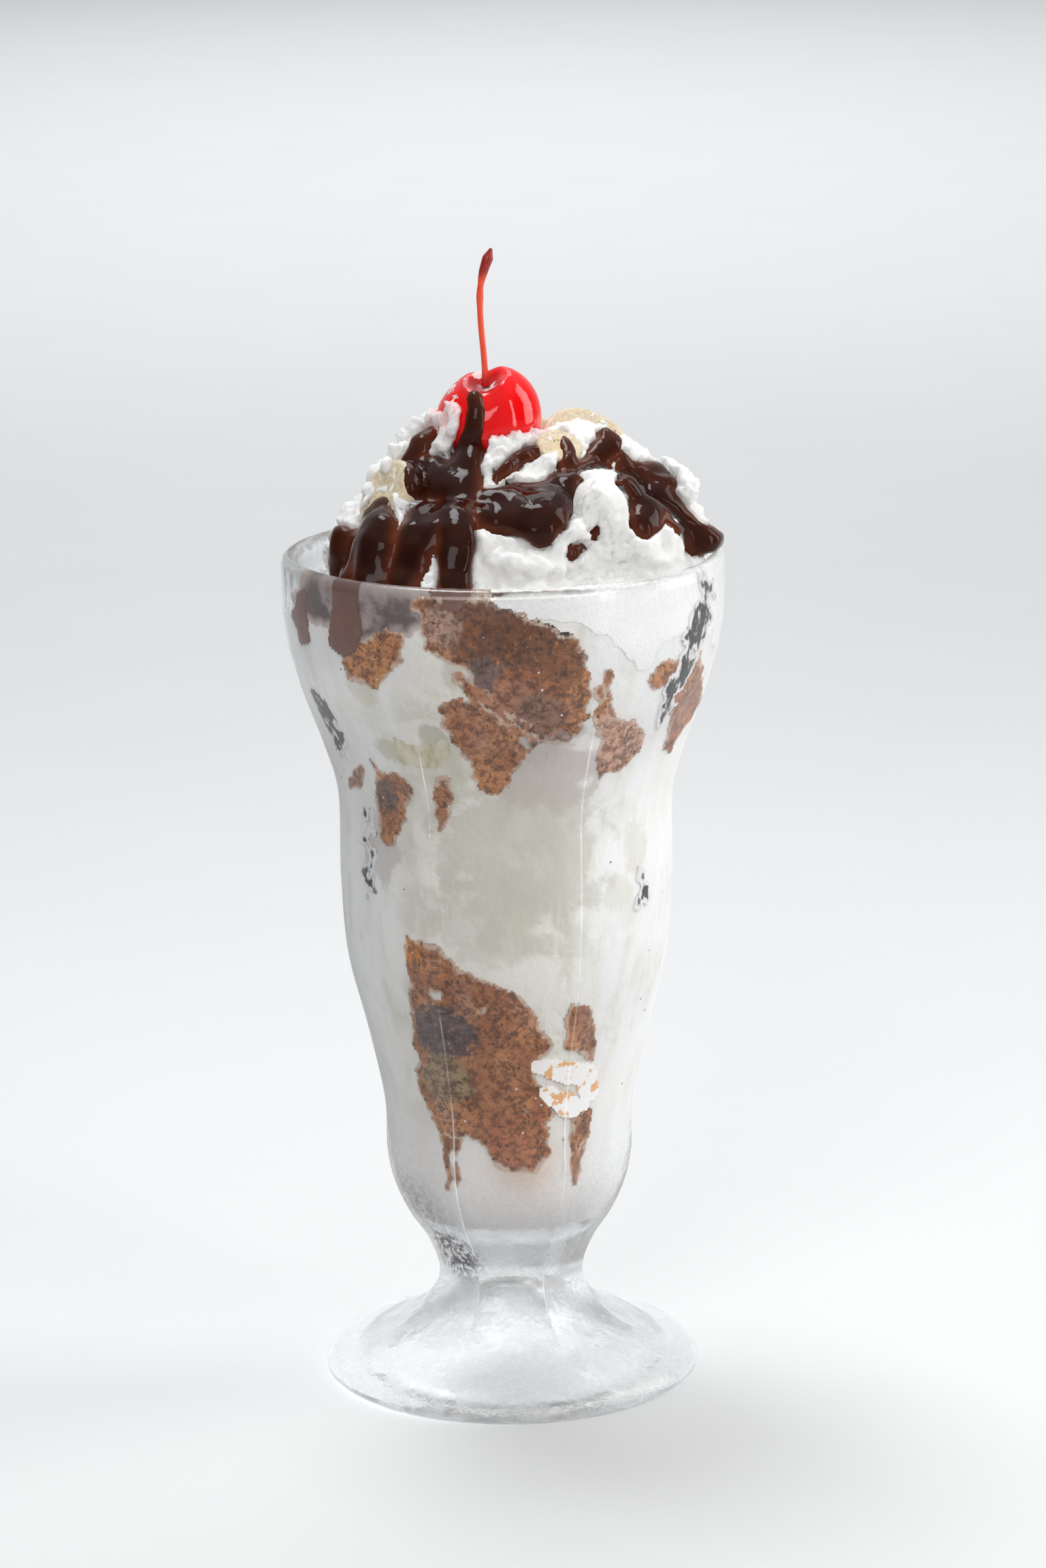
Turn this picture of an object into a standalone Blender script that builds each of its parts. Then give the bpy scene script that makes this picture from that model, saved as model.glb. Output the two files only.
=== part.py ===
"""Ice cream sundae in its tall footed glass.

Metres, +Z up. The origin is on the table, at the middle of the glass's foot. The front of the
sundae, where its biggest cookie pieces show, looks along -Y.

Pieces: the glass, the ice cream that fills it, cookie pieces and banana pressed against the
wall, the whipped cream heaped over the rim with its hot fudge, banana slices in the cream, and
the cherry with its stem.
"""

from math import atan2, ceil, cos, hypot, pi, radians, sin, tau

import bmesh
import bpy
from mathutils import Matrix, Vector, noise

MM = 0.001
GAP = 0.3 * MM

# Glass, over the crests of its flutes
GLASS_HEIGHT = 185.0 * MM
RIM_RADIUS = 48.1 * MM
RIM_WALL = 4.1 * MM
NECK_RADIUS = 16.4 * MM
NECK_HEIGHT = 24.8 * MM
FOOT_RADIUS = 41.4 * MM
FLOOR_HEIGHT = 34.6 * MM
PUNT_HEIGHT = 23.6 * MM
STANDING_RADIUS = 33.0 * MM

FLUTES = 7
STEPS_PER_FLUTE = 5
AROUND = FLUTES * STEPS_PER_FLUTE
CREST_ANGLE = radians(90.0)
FLATNESS = 0.65
FLUTES_START = 164.0 * MM
FLUTES_FULL = 146.0 * MM
FOOT_FLATNESS = 0.30

# Contents
CREAM_LINE = 170.0 * MM
VIEW_SLOPE = 0.19
FUDGE_THICKNESS = 2.0 * MM
HEAP_CENTRE = Vector((2.0, 0.0, 178.0)) * MM
HEAP_AROUND = 54
HEAP_RINGS = 28
SMOOTHING = 2.2 * MM

# Cherry
CHERRY_RADIUS = 11.3 * MM
CHERRY_CENTRE = Vector((-2.5, -2.0, 214.2)) * MM
CHERRY_TILT = radians(20.0)
CHERRY_LEFT = radians(-6.0)
CHERRY_SQUASH = 0.94
DIMPLE_DEPTH = 3.6 * MM
DIMPLE_RADIUS = 5.5 * MM
STEM_RADIUS = 0.7 * MM
STEM_TOP = 250.8 * MM

# Radius and height of the glass's outer side, from the rim down to the foot's edge
OUTER_SIDE = [
    (RIM_RADIUS, GLASS_HEIGHT - 2.0 * MM),
    (RIM_RADIUS - 0.1 * MM, 176.5 * MM),
    (47.3 * MM, 168.5 * MM),
    (44.9 * MM, 157.5 * MM),
    (39.9 * MM, 143.5 * MM),
    (37.2 * MM, 133.0 * MM),
    (37.0 * MM, 115.0 * MM),
    (35.7 * MM, 97.5 * MM),
    (31.4 * MM, 80.0 * MM),
    (28.1 * MM, 64.0 * MM),
    (27.7 * MM, 52.5 * MM),
    (26.2 * MM, 45.0 * MM),
    (23.0 * MM, 37.6 * MM),
    (18.8 * MM, 31.2 * MM),
    (NECK_RADIUS, NECK_HEIGHT),
    (17.1 * MM, 20.2 * MM),
    (20.0 * MM, 15.6 * MM),
    (25.0 * MM, 11.6 * MM),
    (32.0 * MM, 8.2 * MM),
    (38.8 * MM, 5.8 * MM),
    (FOOT_RADIUS, 2.8 * MM),
]

# Radius and height of the hollow inside, from the floor up to the rim
INNER_SIDE = [
    (9.0 * MM, FLOOR_HEIGHT + 0.5 * MM),
    (15.2 * MM, 39.2 * MM),
    (19.6 * MM, 46.0 * MM),
    (21.6 * MM, 57.0 * MM),
    (23.6 * MM, 71.0 * MM),
    (27.3 * MM, 85.0 * MM),
    (30.6 * MM, 98.0 * MM),
    (31.9 * MM, 115.0 * MM),
    (32.3 * MM, 131.0 * MM),
    (35.3 * MM, 144.0 * MM),
    (40.2 * MM, 157.5 * MM),
    (43.0 * MM, 168.5 * MM),
    (RIM_RADIUS - RIM_WALL - 0.1 * MM, 176.5 * MM),
    (RIM_RADIUS - RIM_WALL, GLASS_HEIGHT - 2.0 * MM),
]

# Radius and height of the hollow under the foot, from its rim up to its top
PUNT_SIDE = [
    (STANDING_RADIUS, 0.0),
    (26.0 * MM, 4.6 * MM),
    (15.5 * MM, 10.4 * MM),
    (9.0 * MM, 17.0 * MM),
    (5.2 * MM, 22.0 * MM),
]

# Cookie pieces against the front wall: their outline across and up, in millimetres, and how far
# in front of the glass's middle they end
COOKIE_OUTLINES = {
    "cookie_piece_1": ([(-18, 182), (-5, 182.5), (6, 178.5), (14.5, 174), (16.5, 169), (16.5, 156.5),
                        (13.5, 150.5), (7, 151), (-1, 159.5), (-7.5, 167.5), (-15, 171)], 27),
    "cookie_piece_2": ([(-13.5, 159), (-10, 161.5), (-5.5, 162), (-1, 157.5), (6, 149.5), (2, 144),
                        (-1, 139), (-5, 140), (-7, 146), (-11, 152)], 24),
    "cookie_piece_3": ([(18, 163), (20, 163.5), (20.5, 156), (25.5, 154.5), (28, 150), (26.5, 145),
                        (22, 142.5), (18, 141.5)], 14),
    "cookie_piece_4": ([(28, 163.5), (31, 166.5), (35, 166), (34, 161.5), (30, 160.5)], 15),
    "cookie_piece_5": ([(-32, 167.5), (-26, 174.5), (-19.5, 175), (-20, 168.5), (-25, 163),
                        (-31, 163.5)], 16),
    "cookie_piece_6": ([(-27, 144), (-21, 142), (-17.5, 140.5), (-19.5, 135), (-22, 125.5),
                        (-24.5, 125), (-26, 137)], 10),
    "cookie_piece_7": ([(-14.5, 142.5), (-10.5, 142.5), (-11.2, 135), (-13.8, 129)], 18),
    "cookie_piece_8": ([(-20, 106), (-13.5, 104.3), (-8.7, 99.5), (3, 94), (9.3, 81), (5, 76.5),
                        (9, 66), (7.7, 55.2), (5.5, 52.3), (-2, 52.5), (-6, 59.5), (-13, 59.5),
                        (-17.3, 69), (-19.3, 92)], 6),
    "cookie_piece_9": ([(11.3, 81), (11.6, 89), (13, 92), (16.3, 89), (16.3, 76.5)], 8),
    "cookie_piece_10": ([(11.5, 64.5), (16.3, 64.5), (13.8, 57), (12, 52.5)], 6),
}

# Cookie pieces on the sides that face away from the front: the outline that each repeats, the
# way it faces, and how far it is moved up
TURNED_COOKIES = {
    "cookie_piece_11": ("cookie_piece_2", 75.0, 4.0),
    "cookie_piece_12": ("cookie_piece_8", 165.0, 8.0),
    "cookie_piece_13": ("cookie_piece_1", 205.0, -8.0),
    "cookie_piece_14": ("cookie_piece_6", 280.0, -14.0),
}
CRUMB_STEP = 4.6 * MM
CRUMB_DEPTH = 0.6 * MM

# Banana slices in the cream: centre and face direction, radius and thickness in millimetres
BANANA_SLICES = {
    "banana_slice_1": ((17.5, 3.0, 205.0), (0.35, -0.70, 0.60), 10.5, 5.5),
    "banana_slice_2": ((12.0, -9.5, 208.0), (0.20, -0.50, 0.84), 5.0, 3.5),
    "banana_slice_3": ((-23.5, -14.0, 199.0), (-0.75, -0.45, 0.50), 8.0, 5.0),
    "banana_slice_4": ((5.0, -30.5, 188.5), (0.10, -0.35, 0.93), 8.0, 5.0),
    "banana_slice_5": ((12.0, 19.0, 203.0), (0.25, 0.60, 0.75), 10.0, 6.0),
}
BANANA_OUTLINES = {
    "banana_piece_1": ([(-21.5, 151.5), (-17, 150), (-11.5, 152), (-12, 146), (-16, 144.5),
                        (-20.5, 145.5)], 20),
}

# The heap of whipped cream: centre and radius of its round masses, in millimetres, and a collar
# of like masses that meets the wall of the glass all round except at the left
COLLAR_TURNS = range(-135, 151, 26)
COLLAR_RADIUS = 33.5 * MM
COLLAR_HEIGHT = 176.0 * MM
COLLAR_SIZE = 12.5 * MM
CREAM_MASSES = [
    ((3.0, 0.0, 168.0), 39.5),
    ((1.0, 0.0, 184.0), 28.0),
    ((-3.0, -1.0, 201.0), 12.5),
    ((-1.0, -10.0, 202.0), 9.0),
    ((11.0, -6.0, 201.0), 9.5),
    ((-14.0, -2.0, 205.0), 9.0),
    ((-20.0, -3.0, 197.5), 9.0),
    ((-26.5, -5.0, 186.0), 11.5),
    ((15.5, 3.0, 202.0), 11.5),
    ((22.0, 2.0, 200.0), 10.0),
    ((32.0, 0.0, 192.0), 10.5),
    ((40.0, -3.0, 186.0), 7.0),
    ((20.5, -17.0, 195.0), 9.5),
    ((27.0, -20.0, 187.0), 11.5),
    ((8.0, -24.0, 189.0), 11.5),
    ((-8.0, -25.0, 187.0), 12.0),
    ((-20.0, -20.0, 186.0), 12.0),
    ((-12.0, 22.0, 190.0), 13.0),
    ((14.0, 22.0, 191.0), 13.0),
    ((-27.0, 14.0, 185.0), 11.0),
    ((28.0, 17.0, 186.0), 11.0),
    ((0.0, 30.0, 184.0), 11.0),
    ((-34.0, 0.0, 167.0), 11.5),
    ((-30.0, 14.0, 169.0), 12.5),
    ((-30.0, -14.0, 169.0), 12.5),
]
RAGGED_CREAM = 0.9 * MM
TUFT_SIZE = 5.5 * MM

# Hot fudge, as broad strokes seen from one side and a little above: for each side that it is
# seen from, runs of across, up and half width, in millimetres
FUDGE_STROKES = {
    0.0: [
        [(-6.5, 210, 1.6), (-6.5, 203, 2.6), (-10, 197, 6.0), (-16, 199, 5.0), (-19, 204, 2.5)],
        [(-35, 187, 2.5), (-35, 180, 2.5)],
        [(-27, 192, 3.5), (-29, 184, 4.5), (-30, 179, 4.5)],
        [(-18, 192, 5.5), (-19, 184, 5.5), (-19, 178, 5.5)],
        [(-9, 194, 4.5), (-8, 186, 5.0), (-8, 177, 5.0)],
        [(-3, 196, 4.5), (4, 192, 7.0), (10, 193, 7.5), (15, 198, 5.0), (20, 204, 2.5)],
        [(0, 202, 1.6), (5, 206, 2.2), (9, 208, 2.0)],
        [(15, 210, 2.0), (15, 203, 2.0)],
        [(21, 210, 2.8), (23, 205, 3.0), (27, 199, 3.4), (34, 196, 4.0), (39, 190, 3.0), (46, 187.5, 3.2)],
    ],
    120.0: [
        [(-20, 208, 3.0), (-14, 200, 4.0), (-12, 192, 5.0), (-10, 184, 4.0)],
        [(0, 204, 3.5), (5, 196, 5.0), (8, 188, 4.5), (9, 181, 3.5)],
        [(-26, 200, 3.0), (-30, 190, 4.0), (-31, 183, 3.5)],
    ],
    240.0: [
        [(20, 208, 3.0), (16, 199, 4.5), (14, 190, 5.0), (13, 182, 4.0)],
        [(-2, 205, 3.0), (-4, 196, 4.5), (-9, 188, 4.5), (-10, 181, 3.5)],
        [(27, 198, 3.0), (31, 189, 4.0), (32, 182, 3.5)],
    ],
}


def clear_scene():
    for old in list(bpy.data.objects):
        bpy.data.objects.remove(old, do_unlink=True)


def material(name, colour, roughness, see_through=0.0):
    made = bpy.data.materials.new(name)
    made.use_nodes = True
    shader = made.node_tree.nodes["Principled BSDF"]
    shader.inputs["Base Color"].default_value = (*colour, 1.0)
    shader.inputs["Roughness"].default_value = roughness
    shader.inputs["Metallic"].default_value = 0.0
    shader.inputs["Transmission Weight"].default_value = see_through
    return made


def add_object(name, mesh, collection):
    made = bpy.data.objects.new(name, mesh)
    collection.objects.link(made)
    return made


def evaluated_mesh(thing):
    """The thing's mesh with its modifiers, in world space."""
    bpy.context.view_layer.update()
    depsgraph = bpy.context.evaluated_depsgraph_get()
    mesh = bpy.data.meshes.new_from_object(thing.evaluated_get(depsgraph))
    mesh.transform(thing.matrix_world)
    return mesh


def smooth_path(points, pieces):
    """A Catmull-Rom curve through the points, as `pieces` straight pieces between neighbours."""
    ends = [points[0], *points, points[-1]]
    path = []
    for before, start, end, after in zip(ends, ends[1:], ends[2:], ends[3:]):
        for step in range(pieces):
            t = step / pieces
            path.append(tuple(
                0.5 * (2 * b + (c - a) * t + (2 * a - 5 * b + 4 * c - d) * t * t
                       + (3 * b - a - 3 * c + d) * t ** 3)
                for a, b, c, d in zip(before, start, end, after)))
    path.append(tuple(points[-1]))
    return path


def radius_at(path, height):
    """Radius of a rising or falling path at a height."""
    for (radius, z), (next_radius, next_z) in zip(path, path[1:]):
        if min(z, next_z) <= height <= max(z, next_z) and z != next_z:
            return radius + (next_radius - radius) * (height - z) / (next_z - z)
    nearest = min(path, key=lambda point: abs(point[1] - height))
    return nearest[0]


def turned(name, profile, collection):
    """A solid turned about Z from a profile of radius and height, which starts on the axis at the
    top of the inside, runs out, down the outer side and back to the axis."""
    vertices = [(radius * cos(CREST_ANGLE), radius * sin(CREST_ANGLE), height)
                for radius, height in profile]
    edges = [(index, index + 1) for index in range(len(profile) - 1)]
    line = bpy.data.meshes.new(name)
    line.from_pydata(vertices, edges, [])
    spun = add_object(name, line, collection)
    screw = spun.modifiers.new("Screw", "SCREW")
    screw.axis = "Z"
    screw.angle = tau
    screw.steps = AROUND
    screw.render_steps = AROUND
    screw.use_merge_vertices = True
    screw.merge_threshold = 0.00001
    screw.use_smooth_shade = True
    mesh = evaluated_mesh(spun)
    mesh.name = name
    spun.modifiers.clear()
    spun.data = mesh
    return spun


def flute_share(height):
    """How flat the panels are at a height: none at the rim, full on the bowl, less on the foot."""
    if height > FLUTES_FULL:
        return FLATNESS * max(0.0, (FLUTES_START - height) / (FLUTES_START - FLUTES_FULL))
    if height > NECK_HEIGHT:
        return FLATNESS
    edge = OUTER_SIDE[-2][1]
    along = max(0.0, (height - edge) / (NECK_HEIGHT - edge))
    return (FOOT_FLATNESS + (FLATNESS - FOOT_FLATNESS) * along) * min(1.0, along * 6.0 + 0.25)


def cut_flutes(glass):
    """Flatten the glass's outer side between the crests."""
    half = pi / FLUTES
    for vertex in glass.data.vertices:
        radius = hypot(vertex.co.x, vertex.co.y)
        height = vertex.co.z
        on_outside = abs(radius - radius_at(OUTER_SIDE, height)) < 0.1 * MM
        if not on_outside or height <= OUTER_SIDE[-1][1]:
            continue
        turn = atan2(vertex.co.y, vertex.co.x) - CREST_ANGLE
        from_middle = turn % (2 * half) - half
        share = flute_share(height)
        scale = 1.0 - share + share * cos(half) / cos(from_middle)
        vertex.co.x *= scale
        vertex.co.y *= scale


def build_glass(collection):
    bead = (RIM_RADIUS - RIM_WALL / 2, GLASS_HEIGHT)
    bead_in = (RIM_RADIUS - RIM_WALL + 0.8 * MM, GLASS_HEIGHT - 0.6 * MM)
    bead_out = (RIM_RADIUS - 0.8 * MM, GLASS_HEIGHT - 0.6 * MM)
    edge = (FOOT_RADIUS - 1.6 * MM, 0.0)
    profile = [(0.0, FLOOR_HEIGHT), *INNER_SIDE, bead_in, bead, bead_out, *OUTER_SIDE, edge,
               *PUNT_SIDE, (0.0, PUNT_HEIGHT)]
    glass = turned("glass", profile, collection)
    cut_flutes(glass)
    glass.data.shade_smooth()
    glass.data.set_sharp_from_angle(angle=radians(40.0))
    return glass


def space_inside(name, low, high, collection):
    """What fills the hollow between two heights, clear of the wall by the gap."""
    wall = [(radius - GAP, height) for radius, height in INNER_SIDE if low < height < high]
    bottom = [(0.0, low), (radius_at(INNER_SIDE, low) - GAP, low)]
    if low < INNER_SIDE[0][1]:
        bottom = [(0.0, FLOOR_HEIGHT + GAP)]
        wall[0] = (wall[0][0], wall[0][1] + GAP)
    top = [(radius_at(INNER_SIDE, high) - GAP, high), (0.0, high)]
    profile = bottom + wall + top
    return turned(name, profile[::-1], collection)


def space_for_heap(collection):
    """Room for the heap: inside the glass above the cream line, and free above the rim."""
    wide = RIM_RADIUS * 1.4
    rim_top = GLASS_HEIGHT + 1.5 * GAP
    inner = RIM_RADIUS - RIM_WALL - GAP
    wall = [(radius - GAP, height) for radius, height in INNER_SIDE[-3:]]
    wall = [point for point in wall if point[1] > CREAM_LINE + GAP]
    profile = [
        (0.0, CREAM_LINE + GAP),
        (radius_at(INNER_SIDE, CREAM_LINE) - GAP, CREAM_LINE + GAP),
        *wall,
        (inner + 0.6 * MM, rim_top),
        (wide, rim_top),
        (wide, STEM_TOP),
        (0.0, STEM_TOP),
    ]
    return turned("space for heap", profile[::-1], collection)


def boolean(target, cutters, operation, solver="EXACT"):
    """Join or cut the target with a collection's closed shapes, and keep the result."""
    step = target.modifiers.new("Boolean", "BOOLEAN")
    step.operation = operation
    step.solver = solver
    step.operand_type = "COLLECTION"
    step.collection = cutters
    mesh = evaluated_mesh(target)
    target.modifiers.clear()
    target.data = mesh


def keep_largest(thing):
    """Drop the loose scraps that a cut leaves."""
    mesh = bmesh.new()
    mesh.from_mesh(thing.data)
    left = set(mesh.verts)
    islands = []
    while left:
        front = [left.pop()]
        island = set(front)
        while front:
            vertex = front.pop()
            for edge in vertex.link_edges:
                other = edge.other_vert(vertex)
                if other in left:
                    left.remove(other)
                    island.add(other)
                    front.append(other)
        islands.append(island)
    islands.sort(key=len)
    scraps = [vertex for island in islands[:-1] for vertex in island]
    bmesh.ops.delete(mesh, geom=scraps, context="VERTS")
    mesh.to_mesh(thing.data)
    mesh.free()


def hide_cutter(cutter):
    cutter.hide_render = True
    cutter.display_type = "WIRE"


def crumbled(outline, seed):
    """The outline with its sides broken into short uneven steps, as a torn cookie edge has."""
    points = []
    corners = [Vector((x, z, 0.0)) * MM for x, z in outline]
    for corner, following in zip(corners, corners[1:] + corners[:1]):
        side = following - corner
        count = max(1, ceil(side.length / CRUMB_STEP))
        outward = Vector((side.y, -side.x, 0.0)).normalized()
        for step in range(count):
            point = corner + side * step / count
            wander = noise.noise(Vector((point.x / CRUMB_STEP, point.y / CRUMB_STEP, seed)))
            if step == 0:
                wander = 0.0
            points.append(point + outward * wander * 2.0 * CRUMB_DEPTH)
    return points


def widened(points, margin):
    """The outline moved outwards by a margin."""
    area = sum(a.x * b.y - b.x * a.y for a, b in zip(points, points[1:] + points[:1]))
    turn = 1.0 if area > 0 else -1.0
    moved = []
    for before, point, after in zip(points[-1:] + points[:-1], points, points[1:] + points[:1]):
        first = (point - before).normalized()
        second = (after - point).normalized()
        normal = Vector((first.y + second.y, -first.x - second.x, 0.0)).normalized() * turn
        square = max(0.5, normal.dot(Vector((first.y, -first.x, 0.0))) * turn)
        moved.append(point + normal * margin / square)
    return moved


def slab(name, points, near, far, facing, collection):
    """A flat outline given across and up, as a slab from `near` to `far` in front of the middle,
    turned to face a side."""
    curve = bpy.data.curves.new(name, "CURVE")
    curve.dimensions = "2D"
    curve.fill_mode = "BOTH"
    curve.extrude = (far - near) / 2
    spline = curve.splines.new("POLY")
    spline.points.add(len(points) - 1)
    for spot, point in zip(spline.points, points):
        spot.co = (point.x, point.y, 0.0, 1.0)
    spline.use_cyclic_u = True
    flat = add_object(name + " outline", curve, collection)
    flat.matrix_world = (Matrix.Rotation(facing, 4, "Z")
                         @ Matrix.Translation((0.0, -(near + far) / 2, 0.0))
                         @ Matrix.Rotation(radians(90.0), 4, "X"))
    mesh = evaluated_mesh(flat)
    bpy.data.objects.remove(flat)
    tidy = bmesh.new()
    tidy.from_mesh(mesh)
    bmesh.ops.remove_doubles(tidy, verts=tidy.verts, dist=0.00001)
    bmesh.ops.recalc_face_normals(tidy, faces=tidy.faces)
    tidy.to_mesh(mesh)
    tidy.free()
    return add_object(name, mesh, collection)


def wall_piece(name, outline, ends, facing, lift, seed, groups):
    """A piece pressed against the glass, and the pocket that it needs in what surrounds it."""
    model, pockets, room, earlier = groups
    points = crumbled(outline, seed)
    points = [point + Vector((0.0, lift * MM, 0.0)) for point in points]
    outside = RIM_RADIUS * 1.2
    piece = slab(name, points, ends * MM, outside, facing, model)
    boolean(piece, room, "INTERSECT")
    if earlier.objects:
        boolean(piece, earlier, "DIFFERENCE")
    pocket = slab(name + " pocket", widened(points, GAP), ends * MM - GAP, outside, facing, pockets)
    hide_cutter(pocket)
    earlier.objects.link(pocket)
    return piece


def cream_masses():
    """Centre and radius of every round mass of the heap."""
    masses = [(Vector(place) * MM, size * MM) for place, size in CREAM_MASSES]
    for turn in COLLAR_TURNS:
        across = COLLAR_RADIUS * cos(radians(turn))
        back = COLLAR_RADIUS * sin(radians(turn))
        masses.append((Vector((across, back, COLLAR_HEIGHT)), COLLAR_SIZE))
    return masses


def heap_radius(direction, masses):
    """Distance from the heap's centre to its surface, a soft maximum over the round masses."""
    reach = 0.0
    total = 0.0
    for place, size in masses:
        to_mass = place - HEAP_CENTRE
        along = to_mass.dot(direction)
        inside = size ** 2 - (to_mass.length_squared - along * along)
        if inside <= 0.0 or along + inside ** 0.5 <= 0.0:
            continue
        far = along + inside ** 0.5
        weight = 2.718281828 ** (far / SMOOTHING)
        reach += far * weight
        total += weight
    return reach / total


def seen_from(point, side):
    """Where a point of the heap appears from a side: across, up and towards the viewer."""
    turned_point = Matrix.Rotation(-radians(side), 4, "Z") @ point
    return turned_point.x, turned_point.z + turned_point.y * VIEW_SLOPE, -turned_point.y


def distance_to_run(x, z, start, end):
    """Distance from a place to a tapering run of fudge, less the run's half width there."""
    ax, az, start_width = (value * MM for value in start)
    bx, bz, end_width = (value * MM for value in end)
    length_squared = (bx - ax) ** 2 + (bz - az) ** 2
    along = ((x - ax) * (bx - ax) + (z - az) * (bz - az)) / length_squared
    along = min(1.0, max(0.0, along))
    near = hypot(x - ax - along * (bx - ax), z - az - along * (bz - az))
    return near - start_width - along * (end_width - start_width)


def fudge_cover(point):
    """1 where hot fudge lies on the heap, 0 where the cream is bare."""
    cover = 0.0
    for side, strokes in FUDGE_STROKES.items():
        x, z, towards = seen_from(point, side)
        if towards < -2.0 * MM:
            continue
        for stroke in strokes:
            for start, end in zip(stroke, stroke[1:]):
                inside = -distance_to_run(x, z, start, end)
                cover = max(cover, min(1.0, max(0.0, 0.5 + inside / (1.6 * MM))))
    return cover


def build_heap(collection):
    """Whipped cream over the rim, shaped outwards from a ball, with the hot fudge as relief."""
    heap = bpy.data.meshes.new("whipped_cream")
    ball = bmesh.new()
    bmesh.ops.create_uvsphere(ball, u_segments=HEAP_AROUND, v_segments=HEAP_RINGS, radius=1.0)
    masses = cream_masses()
    for vertex in ball.verts:
        direction = vertex.co.normalized()
        surface = HEAP_CENTRE + direction * heap_radius(direction, masses)
        cover = fudge_cover(surface)
        ragged = noise.fractal(surface / TUFT_SIZE, 0.7, 2.0, 3) * RAGGED_CREAM * (1.0 - cover)
        vertex.co = surface + direction * (ragged + cover * FUDGE_THICKNESS)
    bmesh.ops.recalc_face_normals(ball, faces=ball.faces)
    ball.to_mesh(heap)
    ball.free()
    made = add_object("whipped_cream", heap, collection)
    made.data.shade_smooth()
    return made


def banana_disc(name, place, facing, radius, thickness, collection):
    """A round slice with softened edges, its face pointing along `facing`."""
    mesh = bpy.data.meshes.new(name)
    disc = bmesh.new()
    bmesh.ops.create_cone(disc, cap_ends=True, segments=18, radius1=radius * MM,
                          radius2=radius * MM, depth=thickness * MM)
    rims = [edge for edge in disc.edges if abs(edge.verts[0].co.z - edge.verts[1].co.z) < 1e-7]
    bmesh.ops.bevel(disc, geom=rims, offset=min(1.0, thickness * 0.2) * MM, segments=1,
                    affect="EDGES", profile=0.5)
    stand = Vector(facing).normalized().to_track_quat("Z", "Y").to_matrix().to_4x4()
    bmesh.ops.transform(disc, verts=disc.verts,
                        matrix=Matrix.Translation(Vector(place) * MM) @ stand)
    disc.to_mesh(mesh)
    disc.free()
    return add_object(name, mesh, collection)


def cherry_turn():
    """How the cherry leans: towards the front, and a little to the left."""
    return Matrix.Rotation(CHERRY_LEFT, 4, "Y") @ Matrix.Rotation(CHERRY_TILT, 4, "X")


def build_cherry(name, margin, collection):
    """A round cherry with the dimple that its stem stands in, leaning towards the front."""
    mesh = bpy.data.meshes.new(name)
    ball = bmesh.new()
    bmesh.ops.create_uvsphere(ball, u_segments=20, v_segments=14, radius=CHERRY_RADIUS)
    for vertex in ball.verts:
        across = hypot(vertex.co.x, vertex.co.y)
        if vertex.co.z > 0.0:
            sink = max(0.0, 1.0 - (across / DIMPLE_RADIUS) ** 2) ** 2
            vertex.co.z -= sink * DIMPLE_DEPTH
            vertex.co.z *= CHERRY_SQUASH
        else:
            vertex.co.x *= 1.0 - 0.05 * (vertex.co.z / CHERRY_RADIUS) ** 2
            vertex.co.y *= 1.0 - 0.05 * (vertex.co.z / CHERRY_RADIUS) ** 2
    grow = (CHERRY_RADIUS + margin) / CHERRY_RADIUS
    place = Matrix.Translation(CHERRY_CENTRE) @ cherry_turn() @ Matrix.Scale(grow, 4)
    bmesh.ops.transform(ball, verts=ball.verts, matrix=place)
    ball.to_mesh(mesh)
    ball.free()
    made = add_object(name, mesh, collection)
    made.data.shade_smooth()
    return made


def build_stem(collection):
    """The cherry's stem, bowed a little to the left, thicker where it was picked."""
    lean = cherry_turn().to_3x3() @ Vector((0.0, 0.0, 1.0))
    dimple_floor = (CHERRY_RADIUS - DIMPLE_DEPTH) * CHERRY_SQUASH
    low = CHERRY_CENTRE + lean * (dimple_floor + 1.8 * GAP)
    bow = [(-3.9, 227.5), (-4.6, 235.5), (-4.2, 243.0), (-1.7, STEM_TOP / MM)]
    spots = [Vector((x * MM, low.y - 1.2 * MM, z * MM)) for x, z in bow]
    path = smooth_path([tuple(low), *(tuple(spot) for spot in spots)], 3)
    curve = bpy.data.curves.new("cherry_stem", "CURVE")
    curve.dimensions = "3D"
    curve.bevel_depth = STEM_RADIUS
    curve.bevel_resolution = 1
    curve.use_fill_caps = True
    spline = curve.splines.new("POLY")
    spline.points.add(len(path) - 1)
    last = len(path) - 1
    for index, (spot, place) in enumerate(zip(spline.points, path)):
        along = index / last
        knob = max(0.0, 1.0 - abs(along - 0.92) / 0.12)
        spot.co = (*place, 1.0)
        spot.radius = 1.0 + 0.55 * knob + (0.35 if index == 0 else 0.0)
    spline.points[last].radius = 0.7
    return add_object("cherry_stem", curve, collection)


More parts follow.
